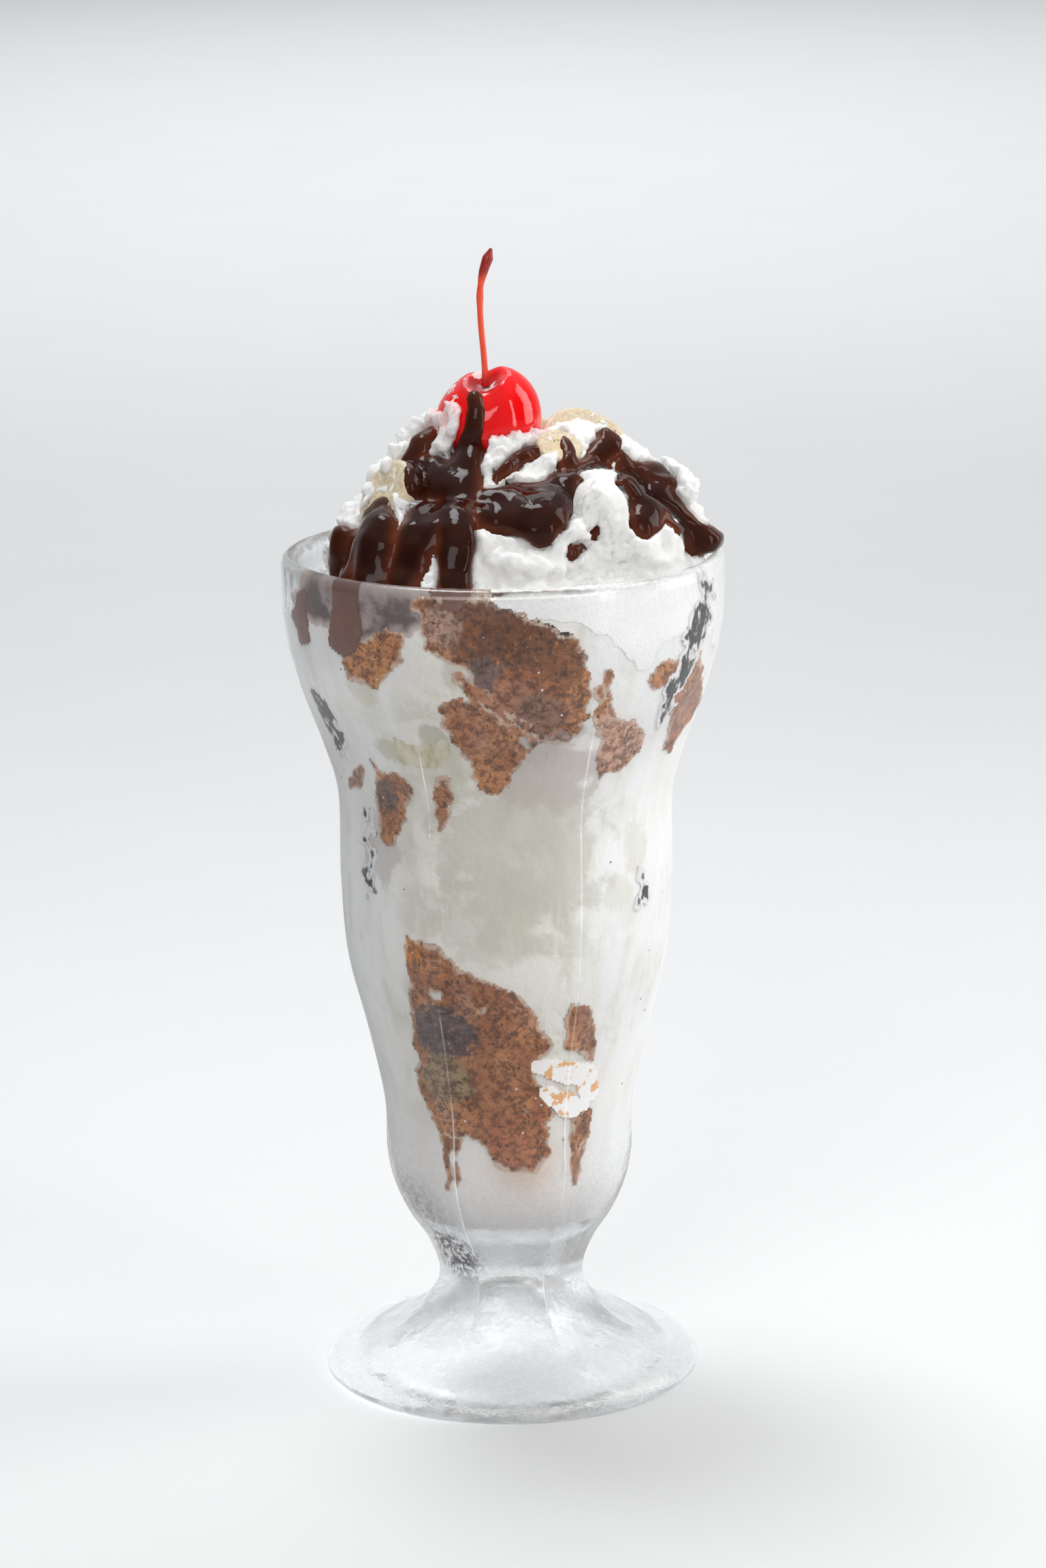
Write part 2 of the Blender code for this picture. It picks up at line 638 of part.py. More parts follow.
def build():
    clear_scene()
    scene = bpy.context.scene
    model = bpy.data.collections.new("ice cream sundae")
    pockets = bpy.data.collections.new("cutters")
    for collection in (model, pockets):
        scene.collection.children.link(collection)

    groups = {}
    for name in ("room for pieces", "room for heap", "front pockets", "cream pockets"):
        groups[name] = bpy.data.collections.new(name)
        pockets.children.link(groups[name])

    clear = material("clear glass", (0.93, 0.96, 0.97), 0.05, 1.0)
    vanilla = material("vanilla ice cream", (0.93, 0.91, 0.84), 0.45)
    cream = material("whipped cream", (0.96, 0.95, 0.92), 0.55)
    cookie = material("cookie", (0.42, 0.20, 0.08), 0.85)
    banana = material("banana", (0.90, 0.82, 0.58), 0.4)
    red = material("red cherry", (0.75, 0.01, 0.01), 0.12)
    stem_red = material("cherry stem", (0.78, 0.10, 0.02), 0.35)

    glass = build_glass(model)
    glass.data.materials.append(clear)

    room = space_inside("room for pieces", FLOOR_HEIGHT, GLASS_HEIGHT - 2.2 * MM,
                        groups["room for pieces"])
    hide_cutter(room)
    heap_room = space_for_heap(groups["room for heap"])
    hide_cutter(heap_room)

    shared = (model, groups["cream pockets"], groups["room for pieces"], groups["front pockets"])
    outlines = {**BANANA_OUTLINES, **COOKIE_OUTLINES}
    for seed, (name, (outline, ends)) in enumerate(outlines.items()):
        piece = wall_piece(name, outline, ends, 0.0, 0.0, seed, shared)
        piece.data.materials.append(banana if name in BANANA_OUTLINES else cookie)
    for seed, (name, (source, facing, lift)) in enumerate(TURNED_COOKIES.items(), 50):
        outline, ends = COOKIE_OUTLINES[source]
        piece = wall_piece(name, outline, ends + 6.0, radians(facing), lift, seed, shared)
        piece.data.materials.append(cookie)

    ice = space_inside("ice_cream", FLOOR_HEIGHT, CREAM_LINE, model)
    boolean(ice, groups["front pockets"], "DIFFERENCE")
    keep_largest(ice)
    ice.data.materials.append(vanilla)

    cherry = build_cherry("cherry", 0.0, model)
    cherry.data.materials.append(red)
    hide_cutter(build_cherry("cherry pocket", GAP, groups["cream pockets"]))
    stem = build_stem(model)
    stem.data.materials.append(stem_red)

    for name, (place, facing, radius, thickness) in BANANA_SLICES.items():
        disc = banana_disc(name, place, facing, radius, thickness, model)
        disc.data.materials.append(banana)
        hide_cutter(banana_disc(name + " pocket", place, facing, radius + GAP / MM,
                                thickness + 2 * GAP / MM, groups["cream pockets"]))

    heap = build_heap(model)
    boolean(heap, groups["room for heap"], "INTERSECT")
    boolean(heap, groups["cream pockets"], "DIFFERENCE")
    boolean(heap, groups["front pockets"], "DIFFERENCE")
    keep_largest(heap)
    heap.data.materials.append(cream)


build()
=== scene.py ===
# %% [markdown]
# Ice cream sundae in a tall glass
# A tall footed glass holds vanilla ice cream with pieces of baked cookie and banana pressed against
# its wall. Whipped cream is heaped over the rim, with hot fudge, slices of banana and a cherry.
# The lesson dresses a finished CAD model of the sundae: it keeps every size and place of that model
# and makes the fine surfaces and the finishes. The first cell loads the model as a fixed frame, and
# sets the seed of the noise, because without it every run would tear the edges in another way.

from math import atan2, ceil, cos, hypot, pi, radians, sin, tau

import bmesh
import bpy
import numpy as np
from mathutils import Matrix, Vector, noise
from mathutils.bvhtree import BVHTree
from mathutils.kdtree import KDTree


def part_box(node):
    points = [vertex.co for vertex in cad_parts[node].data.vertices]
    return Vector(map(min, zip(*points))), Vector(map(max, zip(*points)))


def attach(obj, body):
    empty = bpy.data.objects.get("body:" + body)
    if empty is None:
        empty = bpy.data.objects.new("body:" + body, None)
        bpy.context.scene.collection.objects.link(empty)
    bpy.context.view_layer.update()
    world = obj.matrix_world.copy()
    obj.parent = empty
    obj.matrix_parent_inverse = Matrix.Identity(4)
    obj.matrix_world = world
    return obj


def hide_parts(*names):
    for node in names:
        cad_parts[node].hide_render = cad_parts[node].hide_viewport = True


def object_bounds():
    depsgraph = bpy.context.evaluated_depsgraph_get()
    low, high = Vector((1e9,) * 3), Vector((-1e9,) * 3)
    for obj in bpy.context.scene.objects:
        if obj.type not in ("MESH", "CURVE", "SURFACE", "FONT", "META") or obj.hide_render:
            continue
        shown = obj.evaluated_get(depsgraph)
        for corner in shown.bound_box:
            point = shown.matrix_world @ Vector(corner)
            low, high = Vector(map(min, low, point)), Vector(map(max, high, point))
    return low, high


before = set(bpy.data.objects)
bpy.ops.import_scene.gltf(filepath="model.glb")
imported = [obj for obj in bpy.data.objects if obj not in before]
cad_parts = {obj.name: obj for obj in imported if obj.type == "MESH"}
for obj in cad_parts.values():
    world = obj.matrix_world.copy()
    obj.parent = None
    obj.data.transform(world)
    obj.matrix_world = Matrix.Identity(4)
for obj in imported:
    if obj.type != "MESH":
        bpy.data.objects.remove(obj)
cad_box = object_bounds()
MM = 0.001
SEED = 12
noise.seed_set(SEED)
print("CAD nodes:", len(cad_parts), "height in mm:", round((cad_box[1].z - cad_box[0].z) / MM, 1))

# %% [markdown]
# The camera
# The sundae is seen from a little above, as a guest at the table sees it. A long lens keeps the
# glass upright. The eye's place is kept as a value, because sauce is poured later where it shows
# from there, and from the same place turned about the glass for the other sides.

# %% Camera
EYE = Vector((3.8, -1083.0, 383.0)) * MM
LOOKING_DOWN = radians(13.0)
CAMERA_ROLL = radians(-0.63)
LENS_MM = 117.03

lens = bpy.data.cameras.new("camera")
lens.lens = LENS_MM
lens.sensor_width = 36.0
lens.clip_start = 0.01
camera = bpy.data.objects.new("camera", lens)
bpy.context.scene.collection.objects.link(camera)
camera.matrix_world = (Matrix.Translation(EYE) @ Matrix.Rotation(pi / 2 - LOOKING_DOWN, 4, "X")
                       @ Matrix.Rotation(CAMERA_ROLL, 4, "Z"))
bpy.context.scene.camera = camera
print("camera at", [round(value, 3) for value in EYE])

# %% [markdown]
# Helpers for modelling
# Blender's operators act on whatever is selected, so each step first picks one object and nothing
# else. Edit mode is entered for one change at a time and left again, and a modifier is added, set
# and applied in one go.

# %% Helpers for modelling
SAME_PLACE = 0.01 * MM


def started(operator, **settings):
    """Add a primitive with nothing else selected."""
    bpy.ops.object.select_all(action="DESELECT")
    operator(**settings)
    return bpy.context.object


def focus(piece):
    """Make one object the only one that is selected."""
    if bpy.context.mode != "OBJECT":
        bpy.ops.object.mode_set(mode="OBJECT")
    bpy.ops.object.select_all(action="DESELECT")
    piece.select_set(True)
    bpy.context.view_layer.objects.active = piece


def edit(piece):
    """Enter edit mode on one object with nothing in it selected."""
    focus(piece)
    bpy.ops.object.mode_set(mode="EDIT")
    bpy.ops.mesh.select_mode(type="FACE")
    bpy.ops.mesh.select_all(action="DESELECT")


def done():
    bpy.ops.object.mode_set(mode="OBJECT")


def select_faces(piece, test):
    """Select the faces that pass a test, in edit mode."""
    mesh = bmesh.from_edit_mesh(piece.data)
    for face in mesh.faces:
        face.select_set(bool(test(face)))
    bmesh.update_edit_mesh(piece.data)


def drop_faces(piece, test):
    """Delete the faces that pass a test."""
    edit(piece)
    select_faces(piece, test)
    bpy.ops.mesh.delete(type="FACE")
    done()


def merge_seams():
    """Merge vertices at the same place, over a whole mesh in edit mode."""
    bpy.ops.mesh.select_all(action="SELECT")
    bpy.ops.mesh.remove_doubles(threshold=SAME_PLACE)


def apply(piece, kind, **settings):
    """Add one modifier, set it and apply it."""
    focus(piece)
    step = piece.modifiers.new(kind, kind)
    for key, value in settings.items():
        setattr(step, key, value)
    bpy.ops.object.modifier_apply(modifier=step.name)


def shade(piece, angle=None):
    """Shade a piece smooth, or only where its faces meet at less than an angle in degrees."""
    focus(piece)
    if angle is None:
        bpy.ops.object.shade_smooth()
    else:
        bpy.ops.object.shade_smooth_by_angle(angle=radians(angle))


def settle(piece, name):
    """Name a piece and move its place, turn and size into its mesh."""
    focus(piece)
    bpy.ops.object.transform_apply(location=True, rotation=True, scale=True)
    piece.name = name
    piece.data.name = name
    return piece


def join(pieces):
    """Join pieces into the first of them."""
    focus(pieces[0])
    for piece in pieces[1:]:
        piece.select_set(True)
    bpy.ops.object.join()
    return pieces[0]


def copy_of(piece, name):
    """A copy with a mesh of its own."""
    made = bpy.data.objects.new(name, piece.data.copy())
    bpy.context.scene.collection.objects.link(made)
    return made


def dress(piece, finish):
    """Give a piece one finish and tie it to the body."""
    piece.data.materials.clear()
    piece.data.materials.append(finish)
    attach(piece, "root")


# %% [markdown]
# Helpers for numbers on a mesh
# Thousands of vertices are moved at once as an array with one row for each. A number for each
# vertex, such as its distance from an edge, is stored on the mesh as an attribute, where a finish
# can read it.

# %% Helpers for numbers on a mesh
def coordinates(mesh, what="co"):
    """All places, or all normals, of a mesh's vertices as rows of three."""
    numbers = np.empty(len(mesh.vertices) * 3)
    mesh.vertices.foreach_get(what, numbers)
    return numbers.reshape(-1, 3)


def set_coordinates(mesh, rows):
    mesh.vertices.foreach_set("co", rows.ravel())
    mesh.update()


def store(mesh, name, values):
    """Store one number for each vertex."""
    mesh.attributes.new(name, "FLOAT", "POINT").data.foreach_set("value", values)


def merged_mesh(node):
    """A CAD node's mesh with its vertices merged."""
    mesh = bmesh.new()
    mesh.from_mesh(node.data)
    bmesh.ops.remove_doubles(mesh, verts=mesh.verts, dist=SAME_PLACE)
    return mesh


def search_tree(mesh):
    return BVHTree.FromPolygons([vertex.co for vertex in mesh.vertices],
                                [face.vertices for face in mesh.polygons])


# %% [markdown]
# Helpers for finishes
# A finish is a small graph of shader nodes. Every pattern here reads the object's own coordinates
# in metres, so one function turns a size in millimetres into the scale of a noise. The colour is
# built in layers: a mix of two to start with, then one tint after another over it.

# %% Helpers for finishes
def four(colour):
    """A colour of three numbers as the four that a socket takes. A link is left as it is."""
    return (*colour, 1.0) if isinstance(colour, tuple) else colour


def socket_name(key):
    return key.replace("_", " ").title().replace("Ior", "IOR")


class Nodes:
    """The nodes of one finish while they are laid, and the colour that they give so far."""

    def __init__(self, tree, coordinates="Object"):
        self.tree = tree
        self.place = tree.nodes.new("ShaderNodeTexCoord").outputs[coordinates]
        self.colour = None
        self.shader = None

    def add(self, kind, inputs, **settings):
        """Add a node, set its settings, and fill or link its inputs."""
        made = self.tree.nodes.new("ShaderNode" + kind)
        for key, value in settings.items():
            setattr(made, key, value)
        for key, value in inputs.items():
            if isinstance(value, bpy.types.NodeSocket):
                self.tree.links.new(value, made.inputs[key])
            else:
                made.inputs[key].default_value = value
        return made

    def math(self, operation, first, second=0.0):
        return self.add("Math", {0: first, 1: second}, operation=operation).outputs[0]

    def times(self, first, second):
        return self.math("MULTIPLY", first, second)

    def plus(self, first, second):
        return self.math("ADD", first, second)

    def axis(self, index):
        return self.add("SeparateXYZ", {0: self.place}).outputs[index]

    def attribute(self, name, output="Fac"):
        return self.add("Attribute", {}, attribute_name=name).outputs[output]

    def spread(self, value, low, high, to_low=0.0, to_high=1.0):
        """A value between two marks, spread smoothly to two others and held outside them."""
        made = self.add("MapRange", {"Value": value, "From Min": low, "From Max": high,
                                     "To Min": to_low, "To Max": to_high},
                        interpolation_type="SMOOTHSTEP")
        return made.outputs[0]

    def noise(self, size, detail=3.0, rough=0.55, bend=0.0, upright=None):
        """Noise of a size in millimetres. Below 1, `upright` stretches it along the height."""
        place = self.place
        if upright:
            place = self.add("Mapping", {"Vector": place, "Scale": (1.0, 1.0, upright)}).outputs[0]
        return self.add("TexNoise", {"Vector": place, "Scale": 1.0 / (size * MM), "Detail": detail,
                                     "Roughness": rough, "Distortion": bend}).outputs[0]

    def cells(self, size, place=None):
        """Distance from the nearest of many scattered points."""
        made = self.add("TexVoronoi", {"Vector": place or self.place, "Scale": 1.0 / (size * MM)})
        return made.outputs["Distance"]

    def near(self, point, full, none):
        """1 within `full` millimetres of a point, 0 beyond `none`."""
        gap = self.add("VectorMath", {0: self.place, 1: Vector(point) * MM}, operation="DISTANCE")
        return self.spread(gap.outputs["Value"], none * MM, full * MM)

    def mixed(self, share, first, second, blend="MIX"):
        """Two colours mixed. Index 0 is the share, and 6 and 7 are the colours."""
        made = self.add("Mix", {0: share, 6: four(first), 7: four(second)}, data_type="RGBA",
                        blend_type=blend)
        return made.outputs[2]

    def paint(self, share, first, second):
        """Start the colour as a mix of two."""
        self.colour = self.mixed(share, first, second)

    def tint(self, share, colour, strength=None, blend="MIX"):
        """Lay one more colour over the colour so far."""
        if strength is not None:
            share = self.times(share, strength)
        self.colour = self.mixed(share, self.colour, colour, blend)

    def bump(self, height, deep, before=None):
        """A bump of so many millimetres, on top of an earlier one."""
        inputs = {"Height": height, "Distance": deep * MM, "Strength": 1.0}
        if before:
            inputs["Normal"] = before
        return self.add("Bump", inputs).outputs[0]

    def cover(self, share, under, kind, colour):
        """Another plain shader over one, as much as the share says."""
        top = self.add(kind, {0: four(colour)}).outputs[0]
        return self.add("MixShader", {0: share, 1: under, 2: top}).outputs[0]

    def feed(self, **values):
        """Link values to the shader, and the colour if there is one."""
        if self.colour:
            values["base_color"] = self.colour
        for key, value in values.items():
            self.tree.links.new(value, self.shader.inputs[socket_name(key)])


def new_finish(name, **constants):
    """A material with a Principled shader and its constant values, and the nodes laid in it."""
    made = bpy.data.materials.new(name)
    made.use_nodes = True
    nodes = Nodes(made.node_tree)
    nodes.shader = made.node_tree.nodes["Principled BSDF"]
    for key, value in constants.items():
        nodes.shader.inputs[socket_name(key)].default_value = value
    return made, nodes


# %% [markdown]
# The floor
# The sundae stands on a plain pale floor. Clear glass has no colour of its own: it shows only where
# it bends or mirrors something darker than what lies behind it, so the floor is kept pale.

# %% Floor
floor = started(bpy.ops.mesh.primitive_grid_add, x_subdivisions=8, y_subdivisions=8, size=10.0)
floor.name = "floor"
pale, nodes = new_finish("pale floor", roughness=0.7)
nodes.paint(nodes.noise(90.0), (0.70, 0.705, 0.71), (0.73, 0.735, 0.74))
nodes.feed()
floor.data.materials.append(pale)
bpy.context.scene.view_settings.view_transform = "Standard"

# %% [markdown]
# The sky
# The room is a soft sky. It is brightest behind the glass and overhead, and its sides stay darker
# than the floor, which is what draws the edges of clear glass.

# %% Sky
sky = bpy.data.worlds.new("sky")
sky.use_nodes = True
bpy.context.scene.world = sky
nodes = Nodes(sky.node_tree, "Generated")
behind = nodes.spread(nodes.axis(1), -0.6, 0.9, 0.36, 0.56)
side_shade = nodes.spread(nodes.math("ABSOLUTE", nodes.axis(0)), 0.50, 0.95, 1.0, 0.30)
overhead = nodes.spread(nodes.axis(2), 0.4, 0.95, 0.0, 0.15)
glow = sky.node_tree.nodes["Background"]
glow.inputs["Color"].default_value = (0.97, 0.985, 1.0, 1.0)
sky.node_tree.links.new(nodes.plus(nodes.times(behind, side_shade), overhead), glow.inputs["Strength"])

# %% [markdown]
# The lamps
# The light comes mostly from the right and from above, as from a window, so the front is gently
# shaded and glossy things show long pale reflections.

# %% Lamps
AT_GLASS = (0.0, 0.0, 0.13)
WARM = (1.0, 0.99, 0.97)
# Place, the point it is turned to, width and length in metres, watts, opening angle, colour
LAMPS = {
    "window at the right": ((0.85, 0.16, 0.50), AT_GLASS, (0.45, 0.95), 2.7, 130.0, WARM),
    "edge of the window": ((0.80, -0.62, 0.42), AT_GLASS, (0.16, 0.90), 1.3, 130.0, WARM),
    "soft light overhead": ((-0.20, 0.30, 1.2), AT_GLASS, (0.35, 0.5), 2.2, 110.0, (0.97, 0.99, 1.0)),
    "weak light in front": ((-0.45, -1.25, 0.80), AT_GLASS, (0.7, 0.7), 2.0, 100.0, WARM),
    "light on the floor behind": ((0.0, 2.6, 1.8), (0.0, 2.6, 0.0), (1.2, 3.2), 20.0, 120.0,
                                  (0.98, 0.99, 1.0)),
}
for name, (place, target, size, power, angle, colour) in LAMPS.items():
    lamp = bpy.data.lights.new(name, "AREA")
    lamp.shape = "RECTANGLE"
    lamp.size, lamp.size_y = size
    lamp.energy = power
    lamp.spread = radians(angle)
    lamp.color = colour
    holder = bpy.data.objects.new(name, lamp)
    holder.location = place
    holder.rotation_euler = (Vector(target) - Vector(place)).to_track_quat("-Z", "Y").to_euler()
    bpy.context.scene.collection.objects.link(holder)
print("lamps:", len(LAMPS))

# %% [markdown]
# The glass's outline
# A pressed glass is a turned body whose outer side has flat panels pressed into it. Its outline
# could be typed in again, but the CAD glass already has it: along one crest between two panels its
# vertices are the outline. They are walked in order, from the middle of the floor inside, over the
# rim, down the outer side and under the foot, and a smooth curve is run through them.

# %% The glass's outline
ROW = 1.7 * MM


def crest_outline(node):
    """Radius and height along the crest that points to +Y."""
    mesh = merged_mesh(node)
    near_zero = 2 * SAME_PLACE
    on_crest = {v for v in mesh.verts if abs(v.co.x) < near_zero and v.co.y > -near_zero}
    start = max((v for v in on_crest if v.co.y < near_zero), key=lambda v: v.co.z)
    walked = [start]
    while True:
        ahead = [edge.other_vert(walked[-1]) for edge in walked[-1].link_edges]
        ahead = [vertex for vertex in ahead if vertex in on_crest and vertex not in walked]
        if not ahead:
            break
        walked.append(ahead[0])
    outline = [(vertex.co.y, vertex.co.z) for vertex in walked]
    mesh.free()
    return outline


def smooth_path(points):
    """A Catmull-Rom curve through points, as short straight pieces."""
    ends = [points[0], *points, points[-1]]
    path = []
    for before, start, end, after in zip(ends, ends[1:], ends[2:], ends[3:]):
        pieces = max(1, ceil(hypot(end[0] - start[0], end[1] - start[1]) / ROW))
        for step in range(pieces):
            t = step / pieces
            path.append(tuple(
                0.5 * (2 * b + (c - a) * t + (2 * a - 5 * b + 4 * c - d) * t * t
                       + (3 * b - a - 3 * c + d) * t ** 3)
                for a, b, c, d in zip(before, start, end, after)))
    path.append(tuple(points[-1]))
    return path


outline = crest_outline(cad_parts["glass"])
top = max(range(len(outline)), key=lambda index: outline[index][1])
widest_foot = max(range(len(outline)), key=lambda index: outline[index][0] - outline[index][1])
smooth_outline = [(max(0.0, radius), max(0.0, height)) for radius, height in smooth_path(outline)]
inner_path = smooth_path(outline[1:top - 1])
outer_path = smooth_path(outline[top + 2:widest_foot + 1])
RIM_TOP = outline[top][1]
FLOOR = outline[0][1]
print("outline points:", len(outline), "smooth:", len(smooth_outline), "rim at", round(RIM_TOP / MM, 1))

# %% [markdown]
# Places on the wall
# Everything that is pressed against the glass needs the inner wall's radius at its height. Stains
# and sauce are placed where they show in the picture: a place across and up, in millimetres on the
# upright plane through the glass's middle, is followed from the eye until it meets the wall.

# %% Places on the wall
FIRST_DEPTH = -30.0 * MM
ROUNDS = 6


def radius_on(path, height):
    """Radius of a path at a height, held at its ends."""
    for (radius, z), (next_radius, next_z) in zip(path, path[1:]):
        if min(z, next_z) <= height <= max(z, next_z) and z != next_z:
            return radius + (next_radius - radius) * (height - z) / (next_z - z)
    return min(path, key=lambda point: abs(point[1] - height))[0]


def inner_radius(height):
    return radius_on(inner_path, height)


def on_wall(across, up):
    """The place on the front of the inner wall that shows at a place in the picture, in metres."""
    depth = FIRST_DEPTH
    for _ in range(ROUNDS):
        share = EYE.y / (EYE.y - depth)
        x = EYE.x + (across * MM - EYE.x) / share
        z = EYE.z + (up * MM - EYE.z) / share
        depth = -max((inner_radius(z) ** 2 - x * x), 0.0) ** 0.5
    return Vector((x, depth, z))


# %% [markdown]
# Turning the glass
# A turned body starts from one point. A plane is merged to that point, the point is extruded along
# the outline, and the line is spun about the upright axis. The seam and the poles are merged, and
# the faces are made to point outwards.

# %% Turning
FLUTES = 7
STEPS_PER_FLUTE = 24


def turned(name, profile, steps):
    """A closed body turned about Z from a profile of radius and height that ends on the axis."""
    piece = started(bpy.ops.mesh.primitive_plane_add, size=MM, location=(0.0, 0.0, 0.0))
    edit(piece)
    bpy.ops.mesh.select_mode(type="VERT")
    bpy.ops.mesh.select_all(action="SELECT")
    bpy.ops.mesh.merge(type="CENTER")
    bpy.ops.transform.translate(value=(0.0, profile[0][0], profile[0][1]))
    for (radius, z), (next_radius, next_z) in zip(profile, profile[1:]):
        move = (0.0, next_radius - radius, next_z - z)
        bpy.ops.mesh.extrude_region_move(TRANSFORM_OT_translate={"value": move})
    bpy.ops.mesh.select_all(action="SELECT")
    bpy.ops.mesh.spin(steps=steps, angle=tau, center=(0.0, 0.0, 0.0), axis=(0.0, 0.0, 1.0))
    merge_seams()
    bpy.ops.mesh.normals_make_consistent(inside=False)
    done()
    return settle(piece, name)


glass = turned("glass_body", smooth_outline, FLUTES * STEPS_PER_FLUTE)
print("glass faces:", len(glass.data.polygons))

# %% [markdown]
# The form of the panels
# Seven panels are pressed into the outer side. They are flat on the bowl, fade out below the rim
# and are faint on the foot. Two neighbouring panels meet in a crest that is a hair rounded, so that
# it catches a real highlight, and a white line is painted along it as a highlight as well.

# %% Panel form
CREST_TURN = radians(90.0)
HALF_PANEL = pi / FLUTES
BOWL_FLATNESS = 0.65
FOOT_FLATNESS = 0.30
PANELS_START = 164.0 * MM
PANELS_FULL = 146.0 * MM
NECK_HEIGHT = 24.8 * MM
FOOT_EDGE_HEIGHT = 5.8 * MM
CREST_ROUNDING = 0.004


def flatness(height):
    """How flat the panels are at a height."""
    if height > PANELS_FULL:
        return BOWL_FLATNESS * max(0.0, (PANELS_START - height) / (PANELS_START - PANELS_FULL))
    if height > NECK_HEIGHT:
        return BOWL_FLATNESS
    along = max(0.0, (height - FOOT_EDGE_HEIGHT) / (NECK_HEIGHT - FOOT_EDGE_HEIGHT))
    return (FOOT_FLATNESS + (BOWL_FLATNESS - FOOT_FLATNESS) * along) * min(1.0, along * 6.0 + 0.25)


def panel_scale(turn, height):
    """Share of the crest's radius that the outer side keeps at a turn about the axis."""
    from_middle = abs((turn - CREST_TURN) % (2 * HALF_PANEL) - HALF_PANEL)
    own = cos(HALF_PANEL) / cos(from_middle)
    beside = cos(HALF_PANEL) / cos(2 * HALF_PANEL - from_middle)
    lower = min(own, beside)
    rounded = lower - CREST_ROUNDING * np.log1p(np.exp(-abs(own - beside) / CREST_ROUNDING))
    share = flatness(height)
    return 1.0 - share + share * rounded


# %% [markdown]
# Pressing the panels
# The columns of vertices are crowded towards the crests, so that the rounding has enough of them.
# How near a vertex is to a crest is stored for the finish, which paints a highlight along the crests.
# A faint waviness is left in the wall, as in real pressed glass, and nothing may grow past the CAD
# model's box.

# %% Panels
# Width of the painted highlight along each crest
CREST_HIGHLIGHT_WIDTH = 0.42 * MM
WIDEST = min(-cad_box[0].x, -cad_box[0].y, cad_box[1].x, cad_box[1].y) - 0.02 * MM
CROWDING = 0.72
WAVE = 0.10 * MM
WAVE_SIZE = 14.0 * MM
ON_OUTER_SIDE = 0.05 * MM

on_crest = np.zeros(len(glass.data.vertices))
for vertex in glass.data.vertices:
    radius = hypot(vertex.co.x, vertex.co.y)
    height = vertex.co.z
    if radius < MM:
        continue
    turn = atan2(vertex.co.y, vertex.co.x)
    along = ((turn - CREST_TURN) % (2 * HALF_PANEL)) / (2 * HALF_PANEL)
    turn -= CROWDING * sin(tau * along) / tau * 2 * HALF_PANEL
    if height > FOOT_EDGE_HEIGHT * 0.5 and abs(radius - radius_on(outer_path, height)) < ON_OUTER_SIDE:
        from_crest = abs((turn - CREST_TURN + HALF_PANEL) % (2 * HALF_PANEL) - HALF_PANEL) * radius
        on_crest[vertex.index] = max(0.0, 1.0 - from_crest / CREST_HIGHLIGHT_WIDTH) * flatness(height)
        radius *= panel_scale(turn, height)
        radius -= WAVE * (0.5 + 0.5 * noise.noise(vertex.co / WAVE_SIZE))
    radius = min(radius, WIDEST)
    vertex.co.x = radius * cos(turn)
    vertex.co.y = radius * sin(turn)
store(glass.data, "crest", on_crest)
shade(glass)

# %% [markdown]
# Clear, cold glass
# The glass is clear and nearly colourless. It comes out of the cold, so its lower bowl, neck and
# foot carry a fine frost: a roughness and a bump that come and go in patches, over small water
# beads.

# %% Clear glass
clear_glass, nodes = new_finish("clear glass", base_color=(0.94, 0.95, 0.96, 1.0), ior=1.5,
                                transmission_weight=1.0)
height = nodes.axis(2)
low_down = nodes.spread(height, 0.075, 0.020)
at_rim = nodes.spread(height, 0.172, 0.183)
cold = nodes.plus(low_down, nodes.times(at_rim, 0.35))
patchy = nodes.spread(nodes.noise(9.0, detail=6.0, rough=0.65), 0.40, 0.62)
frost = nodes.times(cold, patchy)
beads = nodes.noise(0.9, detail=4.0, rough=0.7)
grains = nodes.times(beads, nodes.plus(frost, 0.05))
sag = nodes.noise(9.0, detail=2.0, upright=0.35)
nodes.feed(roughness=nodes.spread(frost, 0.0, 1.0, 0.0, 0.20),
           normal=nodes.bump(grains, 0.16, nodes.bump(sag, 0.30)))

# %% [markdown]
# What lies on the glass, and painted light
# A white line is painted along the crests as a highlight, stronger in some places than in others. A
# thin film of ice covers the cold part, and dark specks of painted shade lie at the neck and, fainter,
# under the bowl. Light has to reach the food inside, so the glass lets shadow rays pass.

# %% Painted highlights, ice and painted shade on the glass
# Painted highlight: a white line along the crests, made stronger and weaker by noise
highlight_breaks = nodes.spread(nodes.noise(5.0, detail=5.0, rough=0.6, upright=0.10), 0.38, 0.62, 0.10, 1.0)
crest_highlight = nodes.times(nodes.spread(nodes.attribute("crest"), 0.10, 0.70, 0.0, 0.36), highlight_breaks)
highlight_translucency = nodes.add("BsdfTranslucent", {0: (0.95, 0.96, 0.97, 1.0)}).outputs[0]
bright = nodes.add("BsdfDiffuse", {0: (0.95, 0.96, 0.97, 1.0)}).outputs[0]
painted_crest_highlight = nodes.add("AddShader", {0: highlight_translucency, 1: bright}).outputs[0]
body = nodes.add("MixShader", {0: crest_highlight, 1: nodes.shader.outputs[0], 2: painted_crest_highlight}).outputs[0]
film = nodes.spread(nodes.noise(1.1, detail=6.0, rough=0.75), 0.38, 0.66, 0.25, 1.0)
film = nodes.times(nodes.times(film, nodes.spread(cold, 0.0, 1.0)),
                   nodes.spread(height, 0.010, 0.028, 0.14, 0.34))
body = nodes.cover(film, body, "BsdfDiffuse", (0.52, 0.525, 0.535))
